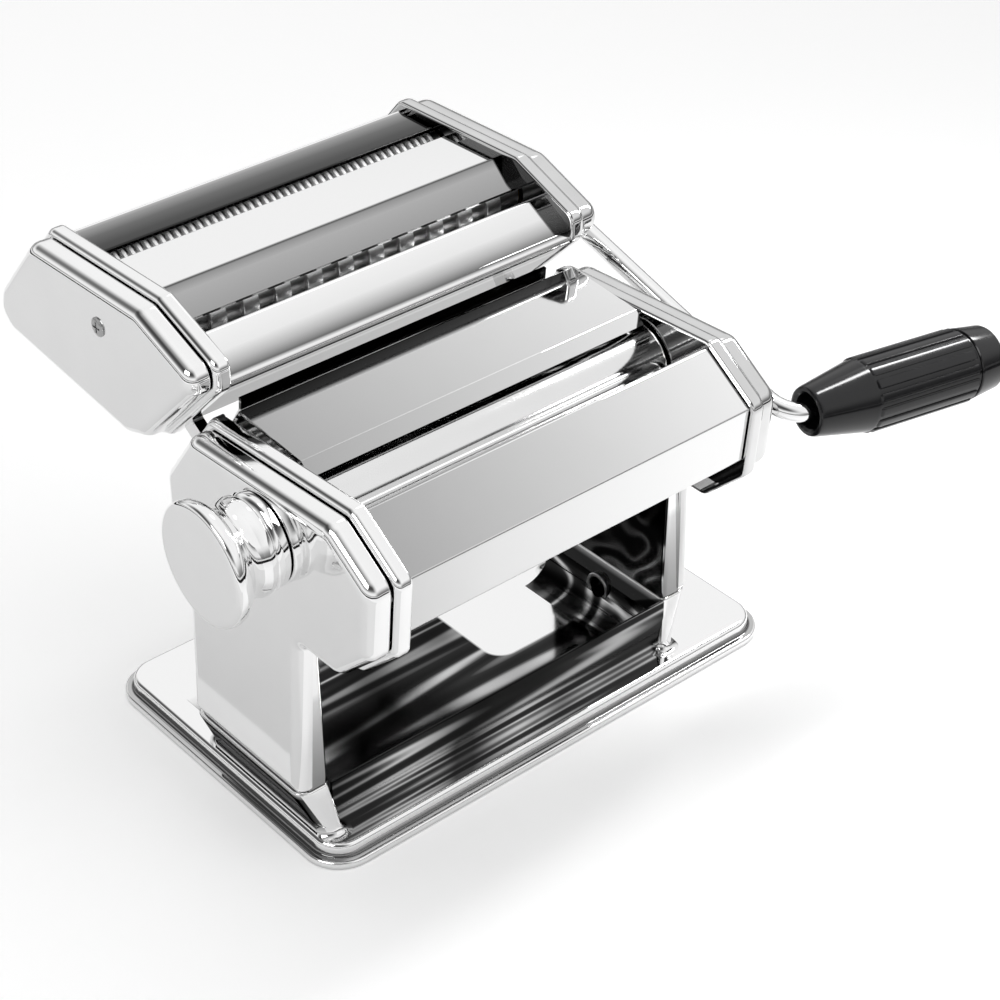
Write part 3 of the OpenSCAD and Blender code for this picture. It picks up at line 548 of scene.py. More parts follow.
# Painted reflection and shade: the bosses' sides carry dark bands up their height and their front faces are
# painted bright; a grey specular tint dims their grazing reflections.
BOSS_PAINTED_STOPS = [(0, 0.9), (0.12, 0.6), (0.3, 0.12), (0.85, 0.06), (0.93, 0.35), (1, 0.9)]
boss_sheet = plated("boss_sheet", BOSS_PAINTED_STOPS, span=("Z", 0.008, 0.029))
boss_sheet.node_tree.nodes["Principled BSDF"].inputs["Specular Tint"].default_value = (0.15, 0.15, 0.15, 1)
left_boss, right_boss = (loft([boss_ring(side, *level) for level in BOSS_LEVELS], False, True)
                         for side in (-1, 1))
for label, boss in (("left", left_boss), ("right", carved(right_boss, [clamp_bore]))):
    paint_light_by_facing(dress(f"{label}_foot_boss", boss, boss_sheet, "body", crease=50), 1, bright)

TROUGH_R, TROUGH_X, TROUGH_Y = 13, 73.6, (-52.6, 6.5)
TROUGH_FLOOR, TROUGH_BACK, TROUGH_TOP = 8.02, 74.5, 21.0
FLOOR_SKIN = ((-73.5, -52.5, 7.9), (73.5, 34, 8.06))
WALL_HALF = 74.8
WALL_SECTION = [(-53.6, 8.0), (-53.6, 28.6), (-53.4, 28.95), (-52.7, 28.95), (-52.4, 28.6), (-52.4, 8.0)]


def trough_side(side):
    """The curved bottom corner of the trough, from the plate up the inner face of a boss."""
    arc = [(TROUGH_X - TROUGH_R * (1 - math.sin(a)), TROUGH_FLOOR + TROUGH_R * (1 - math.cos(a)))
           for a in (math.radians(10 * k) for k in range(10))]
    section = arc + [(TROUGH_BACK, TROUGH_TOP), (TROUGH_BACK, PLATE_TOP)]
    return loft([[(side * x, y, z) for x, z in section] for y in TROUGH_Y])


# The trough's sides and front wall are painted dark with pale streaks: painted reflection and shade.
front_wall = loft([[(x, y, z) for y, z in WALL_SECTION] for x in (-WALL_HALF, WALL_HALF)])
dress("trough_walls", join([trough_side(-1), front_wall]), long_painted_reflection, "body", crease=50)

# In metres: where the painted light patch begins, how its corner is rounded, and where the floor is painted
# pale again
PATCH_LEFT, PATCH_FRONT, PATCH_OUTER, PATCH_INNER = 0.032, -0.013, 0.0085, 0.0075
PALE_FROM, PALE_TO = 0.018, 0.034


def trough_painted_light(at):
    """Painted light on the trough floor: the pale patch where the open back lets light in, and the painted
    fade from dark to pale behind the legs.
    """
    x, y = at.along("X"), at.along("Y")
    beyond_left, beyond_front = (PATCH_LEFT - x).at_least(0.0), (PATCH_FRONT - y).at_least(0.0)
    squared = beyond_left * beyond_left + beyond_front * beyond_front
    patch = squared.maths("SQRT", squared).ranged(PATCH_OUTER, PATCH_INNER)
    return patch.at_least(y.ranged(PALE_FROM, PALE_TO))


# The trough floor is painted dark with streaks and pale where light comes through: painted reflection, shade
# and light.
floor_painted_reflection = paint_dark_reflection("trough_floor_sheet", (2.0, 60.0, 50.0), (0.0, 0.0, 0.03), 40.0, trough_painted_light)
dress("trough_floor", block(*FLOOR_SKIN), floor_painted_reflection, "body")
# The right wall is painted dark with streaks as well: painted reflection and shade.
dress("trough_right_wall", carved(trough_side(1), [clamp_bore]), dark_painted_reflection, "body", crease=50)
dress("clamp_sleeve", lathe(clamp_sleeve, CLAMP_AXIS, 40, closed=True), satin, "body", crease=30)

# ---- side covers ----
# Each is drawn from one sheet: a dished upper part and a leg in one piece, with a soft edge all round. A
# plain channel closes the leg towards the middle of the machine.
BODY = [(-72, 148), (-94.5, 133), (-92, 105), (-74, 88), (8, 88), (18, 99), (18, 121), (1, 144)]
COVER_OUT, COVER_DEPTH, SHEET, EDGE, LEAST_CORNER = 85.0, 8.0, 1.2, 4.5, 0.6
LEG_FRONT, LEG_REAR, LEG_FOOT, LEG_TOP, LEG_RIM, RIM_FADE = -53.0, 7.0, 29.3, 91.5, 5.6, 3.0
SPLAY, SPLAY_FROM, SPLAY_RUN = 3.0, 95, 66


def fillet(radius, first, last, steps):
    """(depth, inset) pairs round a quarter circle, from first to last degrees."""
    angles = [math.radians(first + (last - first) * k / steps) for k in range(steps + 1)]
    return [(radius * (1 - math.cos(a)), radius * (1 - math.sin(a))) for a in angles]


COVER_OUTSIDE = [(COVER_DEPTH, 0.35), (COVER_DEPTH - 0.3, 0.1), (COVER_DEPTH - 0.8, 0.0)]
COVER_OUTSIDE += fillet(EDGE, 90, 0, 8)
COVER_INSIDE = [(SHEET, EDGE + 0.1)] + [(d + SHEET, i + SHEET) for d, i in fillet(EDGE - SHEET, 0, 90, 5)]
COVER_INSIDE += [(COVER_DEPTH, SHEET), COVER_OUTSIDE[0]]


def splay(z):
    """How far the leg stands out at a height."""
    return SPLAY * max(0.0, SPLAY_FROM - z) / SPLAY_RUN


def cover_skin(side, profile, corners, radii, leg_rim=None):
    """Rings of one skin of a cover. A leg rim is the depth at which the rim ends on the leg."""
    rings = []
    for depth, inset in profile:
        corner_radii = [max(LEAST_CORNER, r - inset) if r > 0 else inset - r for r in radii]
        ring = []
        for y, z in outline_round(outline_inset(corners, inset), corner_radii, 6):
            reach = depth
            if leg_rim is not None and depth > leg_rim:
                reach += (leg_rim - depth) * min(1.0, max(0.0, (LEG_TOP - z) / RIM_FADE))
            ring.append((side * (COVER_OUT + splay(z) - reach), y, z))
        rings.append(ring)
    return rings


def cover_shell(side, corners, radii, leg_rim=None):
    """The outer and the inner skin of a cover, which meet at its rim."""
    return join([loft(cover_skin(side, COVER_OUTSIDE, corners, radii, leg_rim), False, True),
                 loft(cover_skin(side, COVER_INSIDE, corners, radii, leg_rim), True, False)])


BORE_REACH = (-6, 2)


def bore(side, y, z, radius):
    """A hole through the face of a cover."""
    return lathe([(side * (COVER_OUT + reach), radius) for reach in BORE_REACH], (y, z), 40)


FRONT_AXIS, REAR_AXIS, KNOB_AXIS = (-70.0, 124.0), (-37.0, 124.0), (-38.1, 124.0)
DRIVE_HOLE_R, SHAFT_HOLE_R = 7.5, 6.5
INDEX_HOLES, INDEX_RING, INDEX_R = 10, 11.0, 1.8
dish = outline_inset(BODY, 2.2)
leg_corners = [(-54.2, dish[3][1]), (LEG_FRONT, LEG_FOOT), (LEG_REAR, LEG_FOOT), (7.3, 90.0)]
side_corners = dish[:4] + leg_corners + dish[5:]
side_radii = [7, 7, 7, 7, -2.2, 2.0, 2.0, 12, 7, 7, 7]
index_angles = [math.pi * (1 + k / (INDEX_HOLES - 1)) for k in range(INDEX_HOLES)]
index_holes = [bore(-1, KNOB_AXIS[0] + INDEX_RING * math.cos(a), KNOB_AXIS[1] + INDEX_RING * math.sin(a),
                    INDEX_R) for a in index_angles]
cover_cuts = {1: [bore(1, *FRONT_AXIS, DRIVE_HOLE_R)], -1: [bore(-1, *KNOB_AXIS, SHAFT_HOLE_R)] + index_holes}
CHANNEL_INSET, CHANNEL_LEVELS = 0.5, ((LEG_FOOT, 75.1), (88.0, 75.9))


def leg_channel(side):
    """The channel behind a leg, which follows the leg's lean."""
    rings = []
    for z, x_in in CHANNEL_LEVELS:
        x_out, y0, y1 = COVER_OUT - EDGE + splay(z), LEG_FRONT + CHANNEL_INSET, LEG_REAR - CHANNEL_INSET
        ring = outline_round(rectangle(x_in, x_out, y0, y1), [2.0, 0.5, 0.5, 2.0], 6)
        rings.append([(side * x, y, z) for x, y in ring])
    return loft(rings)


SIDES = ((-1, "left"), (1, "right"))
# The right side's covers and frame plates are painted a shade darker than the left's: painted shade.
side_sheets_with_painted_shade = {-1: bright, 1: painted_shade_sheet}
# Painted shade: the leg channel is painted darker towards its foot, and its faces along X are painted dark
# with streaks of reflection.
CHANNEL_PAINTED_STOPS = [(0, 0.3), (0.45, 0.6), (0.6, 0.7), (0.66, 0.93), (1, 0.94)]
channel_painted_shade = plated("leg_flange", CHANNEL_PAINTED_STOPS, span=("Z", 0.029, 0.088))
for side, label in SIDES:
    shell = carved(cover_shell(side, side_corners, side_radii, LEG_RIM), cover_cuts[side])
    dress(f"{label}_cover_shell", shell, side_sheets_with_painted_shade[side], "body", (f"{label}_side_cover",), crease=60)
    paint_light_by_facing(dress(f"{label}_leg_channel", leg_channel(side), channel_painted_shade, "body"), 0, dark_painted_reflection)

# ---- inner frames ----
# A pressed plate at each side carries the bushes. Its rim turns inwards over the panels, round a soft outer
# corner.
FRAME_IN, FRAME_OUT, FRAME_R = 74.02, 76.5, 5.0
RIM_END, RIM_SHEET, RIM_SOFT = 70.5, 1.5, 2.6
RIM_NOSE = [(0, 1.5), (0, 0.9), (0.2, 0.4), (0.7, 0.08), (1.2, 0.0)]


def frame_shell(side, corners):
    """A frame plate with its rim, from the rim's rounded nose out to the plate and back inside."""
    outside = [(RIM_END + run, inset) for run, inset in RIM_NOSE]
    outside += [(FRAME_OUT - RIM_SOFT * (1 - math.sin(a)), RIM_SOFT * (1 - math.cos(a)))
                for a in (math.radians(13 * k) for k in range(7))]
    skins = []
    for skin in (outside, [(FRAME_IN, RIM_SHEET), (RIM_END, RIM_SHEET)]):
        outlines = [(x, outline_round(outline_inset(corners, inset), max(1.0, FRAME_R - inset), 6))
                    for x, inset in skin]
        skins.append([[(side * x, y, z) for y, z in outline] for x, outline in outlines])
    return join([loft(skins[0], False, True), loft(skins[1], True, False)])


for side, label in SIDES:
    dress(f"{label}_frame_plate", frame_shell(side, BODY), side_sheets_with_painted_shade[side], "body",
          (f"{label}_inner_frame",), crease=45)

# ---- roller panels ----
# The front cover, the dough guard and the rear cover are folded from one sheet each. The guard and the front
# cover are painted with shade that darkens towards the knob, and the cover's upright face has its own painted
# shade.
PANEL_HALF, GUARD_HALF = 74, 69.5
PANEL_FOLD, GUARD_FOLD, LIP_FOLD, LEAST_FOLD = 1.3, 0.8, 0.5, 0.25


def folded(path, radius, half, steps=5, thickness=SHEET):
    """A sheet bent along a (y, z) path with rounded folds; it lies to the left of the path."""
    back_path = []
    for i, point in enumerate(path):
        here = Vector(point)
        u = (here - Vector(path[i - 1])).normalized() if i else (Vector(path[1]) - here).normalized()
        v = (Vector(path[i + 1]) - here).normalized() if i < len(path) - 1 else u
        normal = Vector((-u.y - v.y, u.x + v.x)).normalized()
        back_path.append(here + normal * thickness / normal.dot(Vector((-u.y, u.x))))
    section = []
    for points, offset in ((path, 0), (back_path, thickness)):
        line = [tuple(points[0])]
        for i in range(1, len(points) - 1):
            before, here, after = neighbours(points, i)
            bend = (here - before).x * (after - here).y - (here - before).y * (after - here).x
            inset = max(LEAST_FOLD, radius - math.copysign(offset, bend))
            line += corner_arc(before, here, after, inset, steps)
        line.append(tuple(points[-1]))
        section += line if offset == 0 else line[::-1]
    return loft([[(x, y, z) for y, z in section] for x in (-half, half)])


def part_way(first, last, share):
    """A point between two corners of an outline."""
    return tuple(Vector(first).lerp(Vector(last), share))


panel = outline_inset(BODY, 2.0)
front_sheet = plated("front_sheet", [(0, 0.42), (0.5, 0.66), (1, 0.92)], span=("X", -0.075, 0.075))
front_drop = plated("front_drop", [(0, 0.62), (0.3, 0.72), (1, 0.8)], span=("X", -0.075, 0.05))
front_path = [(-68.5, 142.6), panel[0], panel[1], part_way(panel[1], panel[2], 0.82), (-86, 110.5)]
front = dress("front_cover_sheet", folded(front_path, PANEL_FOLD, PANEL_HALF), front_sheet, "body",
              ("front_cover",), crease=60)
paint_light_by_facing(front, 1, front_drop)
# The lip under the front cover is painted dark with pale streaks: painted reflection and shade.
front_lip = folded([(-66.6, 139.9), (-68.2, 142.5)], LIP_FOLD, PANEL_HALF)
dress("front_cover_lip", front_lip, long_painted_reflection, "body", crease=60)

guard_sheet = plated("guard_sheet", [(0, 0.42), (0.5, 0.62), (1, 0.82)], span=("X", -0.075, 0.07))
guard_path = [(-1.5, 140.5), (-7, 148.2), (-39, 145.8), (-43, 141.6)]
guard_hem = folded([(-1.5, 140.5), (-2.4, 141.75)], GUARD_FOLD, PANEL_HALF)
dress("guard_panel", join([folded(guard_path, GUARD_FOLD, GUARD_HALF), guard_hem]), guard_sheet, "body",
      ("dough_guard",), crease=60)

# The rear cover is notched where the head's hooks reach down, and its turned-up lip stops short of them
HOOKS_X, HOOK_SLOT, LIP_SLOT = (-70, 64), 6, 12
SLOT_FRONT, SLOT_REAR, SLOT_TOP, HOOK_FLOOR, LIP_FLOOR = -5, 25, 150, 107, 143.2
LIP_STARTS = (HOOKS_X[0] + HOOK_SLOT - LIP_SLOT, HOOKS_X[1])
# Painted reflection and shade: bright and dark bands up the rear cover.
REAR_PAINTED_STOPS = [(0, 0.93), (0.5, 0.9), (0.6, 0.04), (0.8, 0.1), (0.86, 0.5), (0.9, 0.05), (1, 0.03)]
rear_painted_shade = plated("rear_sheet", REAR_PAINTED_STOPS, span=("Z", 0.137, 0.147))
rear_path = [part_way(panel[4], panel[5], 0.4), panel[5], panel[6], (1.6, 142.6), (1.2, 147.0)]
hook_slots = [block((x, SLOT_FRONT, HOOK_FLOOR), (x + HOOK_SLOT, SLOT_REAR, SLOT_TOP)) for x in HOOKS_X]
lip_slots = [block((x, SLOT_FRONT, LIP_FLOOR), (x + LIP_SLOT, SLOT_REAR, SLOT_TOP)) for x in LIP_STARTS]
rear_sheet = carved(folded(rear_path, PANEL_FOLD, PANEL_HALF), hook_slots + lip_slots)
dress("rear_cover_sheet", rear_sheet, rear_painted_shade, "body", ("rear_cover",), crease=60)

# ---- rollers ----
# Turned and ground steel. The front one is solid, with a socket for the crank. The rear one is a tube that
# runs on bushes inside its ends.
ROLLER_R, ROLLER_HALF, SOCKET_R, SOCKET_DEPTH = 15.2, 73.5, 3.55, 18
JOURNAL_R, JOURNAL_EDGE, FRONT_END = 6.0, 5.4, 86.0
STUB_R, STUB_END, TUBE_R, COUNTER_R, COUNTER_X = 9.0, 80.8, 6.4, 11.5, -63.5


def shoulder(side, chamfer=1.2):
    """The chamfered shoulder of a roller."""
    ends = [(ROLLER_HALF, ROLLER_R - chamfer), (ROLLER_HALF - 0.35, ROLLER_R - 0.3 * chamfer),
            (ROLLER_HALF - chamfer, ROLLER_R)]
    return [(side * x, radius) for x, radius in (ends if side < 0 else ends[::-1])]


front_bar = [(-77.5, JOURNAL_EDGE), (-77.0, JOURNAL_R), (-ROLLER_HALF, JOURNAL_R)]
front_bar += shoulder(-1) + shoulder(1)
front_bar += [(ROLLER_HALF, JOURNAL_R), (FRONT_END - 0.6, JOURNAL_R), (FRONT_END, JOURNAL_EDGE),
              (FRONT_END, SOCKET_R), (FRONT_END - SOCKET_DEPTH, SOCKET_R)]
dress("front_roller_bar", lathe(front_bar, FRONT_AXIS), turned, "front_roller", ("front_roller",),
      crease=30)
rear_bar = [(COUNTER_X, COUNTER_R), (-ROLLER_HALF, COUNTER_R)] + shoulder(-1) + shoulder(1)
rear_bar += [(ROLLER_HALF, STUB_R), (STUB_END, STUB_R), (STUB_END, TUBE_R), (-60.0, TUBE_R)]
dress("rear_roller_bar", lathe(rear_bar, REAR_AXIS, closed=True), turned, "rear_roller", ("rear_roller",),
      crease=30)

# ---- knob ----
# The regulator's knob is turned and polished: a plain foot, a groove, a waist and a wide cap with a soft
# edge. It slides on the regulator shaft over its spring, and its pin drops into one of the cover's holes.
knob_hollow = [(-106.3, 9.5), (-91.8, 9.5), (-91.8, 5.2), (-89.3, 5.2), (-89.3, 12.4), (-85.6, 12.5)]
knob_foot = [(-85.35, 12.8), (-85.3, 15.4), (-85.8, 16.0), (-88.0, 16.1), (-88.6, 15.2), (-89.6, 14.9),
             (-90.2, 15.3), (-90.5, 16.2)]
knob_waist = [(-91.2, 16.6), (-93.0, 16.6), (-94.5, 16.0), (-97.0, 15.7), (-99.2, 16.4), (-101.0, 18.0),
              (-102.4, 19.6)]
knob_cap = [(-103.8, 20.6), (-105.2, 21.0), (-106.6, 21.0), (-107.4, 20.75), (-107.95, 20.2), (-108.25, 19.4),
            (-108.3, 18.4)]
knob_shape = lathe(knob_hollow + knob_foot + knob_waist + knob_cap, KNOB_AXIS)
dress("knob_shell", knob_shape, bright, "knob", ("regulator_knob",), crease=50)

# ---- cutter head ----
# The head repeats the body's build: a soft-edged cover and a rimmed plate at each side, and three folded
# panels that leave a wide and a fine slot between them.
HEAD = [(88, 175.5), (24, 177.5), (-6, 166.5), (-6, 157), (25, 125.5), (37, 121.5), (108, 129), (116, 137),
        (113, 147)]
WIDE_FRONT, WIDE_REAR, FINE_FRONT, FINE_REAR = (19.4, 149.6), (32.882, 160.913), (54.2, 161.0), (71.8, 161.0)
LEFT_POST, RIGHT_POST = (47.0, 160.0), (96.0, 147.0)
HEAD_DRIVE_R, POST_HOLE_R, HEAD_FOLD, NOSE_FOLD = 6.3, 2.0, 0.6, 2.2
head_dish = outline_inset(HEAD, 2.0)
head_radii = [8, 8, 6, 6, 8, 8, 8, 7, 8]
head_cuts = {1: [bore(1, *WIDE_FRONT, HEAD_DRIVE_R), bore(1, *FINE_FRONT, HEAD_DRIVE_R),
                 bore(1, *RIGHT_POST, POST_HOLE_R)],
             -1: [bore(-1, *LEFT_POST, POST_HOLE_R)]}
for side, label in SIDES:
    shell = carved(cover_shell(side, head_dish, head_radii), head_cuts[side])
    dress(f"head_{label}_cover_shell", shell, side_sheets_with_painted_shade[side], "cutter_head", (f"head_{label}_cover",),
          crease=60)
    dress(f"head_{label}_frame_plate", frame_shell(side, HEAD), side_sheets_with_painted_shade[side], "cutter_head",
          (f"head_{label}_frame",), crease=45)

nose = outline_inset(HEAD, 0.5)
# The head's panels carry painted reflection and shade: dark and bright bands across their folds and slopes.
REAR_PANEL_PAINTED_STOPS = [(0, 0.03), (0.3, 0.05), (0.6, 0.12), (0.85, 0.3), (0.93, 0.45), (0.95, 0.93), (1, 0.94)]
MIDDLE_PAINTED_STOPS = [(0, 0.36), (0.25, 0.44), (0.33, 0.3), (0.345, 0.05), (0.37, 0.9), (1, 0.9)]
NOSE_PAINTED_STOPS = [(0, 0.03), (0.36, 0.04), (0.44, 0.3), (0.5, 0.05), (0.6, 0.1), (0.66, 0.8), (0.69, 0.9),
              (0.715, 0.15), (0.77, 0.5), (0.84, 0.85), (1, 0.94)]
rear_panel_sheet = plated("rear_panel_sheet", REAR_PANEL_PAINTED_STOPS, span=("Y", 0.065, 0.0865))
middle_sheet = plated("middle_sheet", MIDDLE_PAINTED_STOPS, span=("Y", 0.020, 0.060))
head_nose_painted_shade = plated("head_front_sheet", NOSE_PAINTED_STOPS, span=("Z", 0.138, 0.168))
head_rear_path = [(112.5, 137.8), (110, 145.6), (86.3, 172.4), (67.7, 172.75), (67.5, 171.4)]
head_middle_path = [(60.2, 171.4), (59.6, 172.8), (34, 173.6), (20, 168.3)]
head_nose_path = [(15, 163.5), (14.6, 167.6), (-2.6, 159.8), nose[3], part_way(nose[3], nose[4], 0.8)]
for label, path, fold, sheet in (("rear", head_rear_path, HEAD_FOLD, rear_panel_sheet),
                                 ("middle", head_middle_path, HEAD_FOLD, middle_sheet),
                                 ("front", head_nose_path, NOSE_FOLD, head_nose_painted_shade)):
    dress(f"head_{label}_sheet", folded(path, fold, PANEL_HALF), sheet, "cutter_head",
          (f"head_{label}_panel",), crease=60)

# ---- cutters ----
# Each cutter is a turned bar with a row of sharp rings, and the rings of a pair run between each other. A
# comb at each bar strips the ribbons from the grooves.


def instancer(name, extra):
    """A node group that sets an item on points and joins it to a bar. Extra lists more inputs."""
    tree = bpy.data.node_groups.new(name, "GeometryNodeTree")
    labels = [("Bar", "NodeSocketGeometry"), ("Item", "NodeSocketObject"), ("Finish", "NodeSocketMaterial")]
    labels += extra
    keys = {label: tree.interface.new_socket(label, in_out="INPUT", socket_type=kind).identifier
            for label, kind in labels}
    tree.interface.new_socket("Made", in_out="OUTPUT", socket_type="NodeSocketGeometry")
    entry = tree.nodes.new("NodeGroupInput")
    sockets = {label: Sock(tree, entry.outputs[label]) for label, _ in labels}
    item = sockets["Bar"].get("GeometryNodeObjectInfo", None, {"Object": sockets["Item"]}, "Geometry")
    return tree, keys, sockets, item


def close_instancer(sockets, points, item, turn=(0, 0, 0)):
    """Ends a node group: sets the item on the points, joins it to the bar and gives both their finish."""
    copies = {"Points": points, "Instance": item, "Rotation": turn}
    placed = points.get("GeometryNodeInstanceOnPoints", None, copies)
    real = placed.get("GeometryNodeRealizeInstances", None, {0: placed})
    whole = real.node("GeometryNodeJoinGeometry")
    for shape in (sockets["Bar"], real):
        shape.feed(whole.inputs[0])
    finish = {0: Sock(real.tree, whole.outputs[0]), "Material": sockets["Finish"]}
    made = real.get("GeometryNodeSetMaterial", None, finish)
    made.feed(made.tree.nodes.new("NodeGroupOutput").inputs[0])


def points_in_line(count, **values):
    """Points along a line, for the items of a node group."""
    return count.get("GeometryNodeMeshLine", {"mode": "OFFSET"}, {"Count": count, **values})


row_inputs = [("Count", "NodeSocketInt"), ("Start", "NodeSocketFloat"), ("Pitch", "NodeSocketFloat")]
row_tree, row_keys, row, row_item = instancer("row_along_x", row_inputs)
row_start, row_pitch = (row[label].get("ShaderNodeCombineXYZ", None, {0: row[label]})
                        for label in ("Start", "Pitch"))
row_ends = {"Start Location": row_start, "Offset": row_pitch}
close_instancer(row, points_in_line(row["Count"], **row_ends), row_item)


def grow(thing, item, finish, tree, keys, **values):
    """Runs a node group on an object with an item, and returns the plain mesh."""
    pattern = thing.modifiers.new("grow", "NODES")
    pattern.node_group = tree
    for label, value in {"Item": item, "Finish": finish, **values}.items():
        pattern[keys[label]] = value
    mesh = settled(thing)
    bpy.data.objects.remove(item)
    return mesh


def row_of(name, bar, item, finish, **values):
    """A bar with a row of items along X."""
    carrier, pattern = loose(raw_mesh(name, bar)), loose(raw_mesh("item", item))
    return grow(carrier, pattern, finish, row_tree, row_keys, **values)


CUT_R, CORE_R, CUT_JOURNAL, CUT_HALF, DRIVEN_END, IDLE_END = 9.4, 7.9, 5.5, 73.0, 85.5, 80.8
RING_GAP, RING_ROOT, RING_BEVEL, END_MARGIN, FINEST_WIDE = 0.12, 0.2, 0.2, 8, 2
# A comb's finger, from its root to its tip; its start and its widths at both are shares of the ribbon
FINGER_ROOT, FINGER_TIP, FINGER_CHAMFER, FINGER_START = CUT_R + 1.0, CUT_R - 1.0, 0.3, 0.3
FINGER_FOOT, FINGER_POINT = (0, 0.4), (0.1, 0.3)
COMB_FRONT, COMB_REAR, STRIP_LOW, STRIP_HIGH = -2, -1, CUT_R + 3.2, CUT_R + 0.9
ring_steel = plated("ring_steel", [(0, 0.8), (1, 0.9)], 0.32, 0.1)
fine_steel = plated("fine_ring_steel", [(0, 0.92), (1, 0.97)], 0.6, 0.1)


def ring_count(ribbon):
    return int((2 * CUT_HALF - END_MARGIN) // (2 * ribbon))


def cutter(name, axis, ribbon, shifted, driven, body):
    """A bar with its rings. The driven one of a pair has the socket, and the other's rings are shifted."""
    bar = [(-76.0, 5.0), (-75.6, CUT_JOURNAL), (-CUT_HALF, CUT_JOURNAL), (-CUT_HALF, CORE_R),
           (CUT_HALF, CORE_R), (CUT_HALF, CUT_JOURNAL)]
    if driven:
        bar += [(DRIVEN_END - 0.5, CUT_JOURNAL), (DRIVEN_END, 5.0), (DRIVEN_END, SOCKET_R),
                (DRIVEN_END - SOCKET_DEPTH, SOCKET_R)]
    else:
        bar += [(IDLE_END - 0.4, CUT_JOURNAL), (IDLE_END, 5.1)]
    width = ribbon - 2 * RING_GAP
    bevel = min(RING_BEVEL, 0.12 * width)
    ring = [(0, CORE_R - RING_ROOT), (0, CUT_R - bevel), (bevel, CUT_R), (width - bevel, CUT_R),
            (width, CUT_R - bevel), (width, CORE_R - RING_ROOT)]
    count = ring_count(ribbon)
    start = -count * ribbon + (ribbon if shifted else 0) + RING_GAP
    finish = ring_steel if ribbon > FINEST_WIDE else fine_steel
    mesh = row_of(name, lathe(bar, axis, 64), lathe(ring, axis, 64, closed=True), finish,
                  Count=count, Start=start * mm, Pitch=2 * ribbon * mm)
    dress(name + "_bar", mesh, finish, body, (name,), crease=30)
    # The core between the rings takes the darker oiled finish: painted shade in the grooves.
    mesh.materials.append(oiled_steel_and_groove_shade)
    for face in mesh.polygons:
        if math.hypot(face.center.y / mm - axis[0], face.center.z / mm - axis[1]) < CORE_R + 0.3:
            face.material_index = 1


def turned_about_x(shape, axis, degrees):
    """A shape drawn round X, leant by an angle and moved to its axis."""
    a = math.radians(degrees)
    return [(x, axis[0] + y * math.cos(a) - z * math.sin(a), axis[1] + y * math.sin(a) + z * math.cos(a))
            for x, y, z in shape[0]], shape[1]


def comb(name, axis, lean, ribbon, shifted):
    """A strip along the cutter, with a tapered finger in each groove."""
    strip = block((-PANEL_HALF, COMB_FRONT, -STRIP_LOW), (PANEL_HALF, COMB_REAR, -STRIP_HIGH))
    levels = ((FINGER_ROOT, FINGER_FOOT), (FINGER_TIP + FINGER_CHAMFER, FINGER_FOOT),
              (FINGER_TIP, FINGER_POINT))
    finger = loft([[(x, y, -r) for x, y in rectangle(low * ribbon, high * ribbon, COMB_FRONT, COMB_REAR)]
                   for r, (low, high) in levels])
    count = ring_count(ribbon)
    start = -count * ribbon + (0 if shifted else ribbon) + FINGER_START * ribbon
    mesh = row_of(name, turned_about_x(strip, axis, lean), turned_about_x(finger, axis, lean), satin,
                  Count=count, Start=start * mm, Pitch=2 * ribbon * mm)
    dress(name + "_strip", mesh, satin, "cutter_head", (name,), crease=30)


WIDE, FINE = 6.4, 1.5
for name, axis, ribbon, rear, lean in (("wide", WIDE_FRONT, WIDE, False, 0),
                                       ("wide", WIDE_REAR, WIDE, True, 50),
                                       ("fine", FINE_FRONT, FINE, False, -25),
                                       ("fine", FINE_REAR, FINE, True, 25)):
    place = "rear" if rear else "front"
    cutter(f"{name}_cutter_{place}", axis, ribbon, rear, not rear, f"{name}_{'idle' if rear else 'driven'}")
    comb(f"{name}_comb_{place}", axis, lean, ribbon, rear)

# ---- cover screws ----
# One flat pan-head screw of zinc-plated steel, with a pressed cross recess, holds each cover of the head.
# It is driven into the end of the cover's post.
SCREW_R, SCREW_HEAD_R, SCREW_HEAD_T = 1.5, 3.4, 0.9
CROSS_REACH, CROSS_HALF, CROSS_DEPTH = 2.0, 0.4, 0.45
spot_tree, spot_keys, spot, spot_item = instancer("screw_at_each_point", [])
spot_at = spot["Bar"].get("GeometryNodeInputPosition")
spot_left = spot_at.maths("LESS_THAN", spot_at.along("X"), 0.0)
spot_turn = spot_at.get("ShaderNodeCombineXYZ", None, {2: spot_left * math.pi})
close_instancer(spot, spot["Bar"], spot_item, spot_turn)
screw_profile = [(-5.2, 1.1), (-4.8, SCREW_R), (0.0, SCREW_R), (0.0, SCREW_HEAD_R - 0.2),
                 (0.25, SCREW_HEAD_R), (0.5, SCREW_HEAD_R - 0.1), (0.75, SCREW_HEAD_R - 0.6),
                 (SCREW_HEAD_T, SCREW_HEAD_R - 1.5)]
cross = [block((SCREW_HEAD_T - CROSS_DEPTH, -a, -b), (SCREW_HEAD_T + 1, a, b))
         for a, b in ((CROSS_REACH, CROSS_HALF), (CROSS_HALF, CROSS_REACH))]
screw = loose(carved(lathe(screw_profile, count=48), cross))
screw_spots = loose(raw_mesh("cover_screw_heads", ([(COVER_OUT, *RIGHT_POST), (-COVER_OUT, *LEFT_POST)], [])))
dress("cover_screw_heads", grow(screw_spots, screw, satin, spot_tree, spot_keys), satin, "cutter_head",
      ("cover_screws",), crease=30)

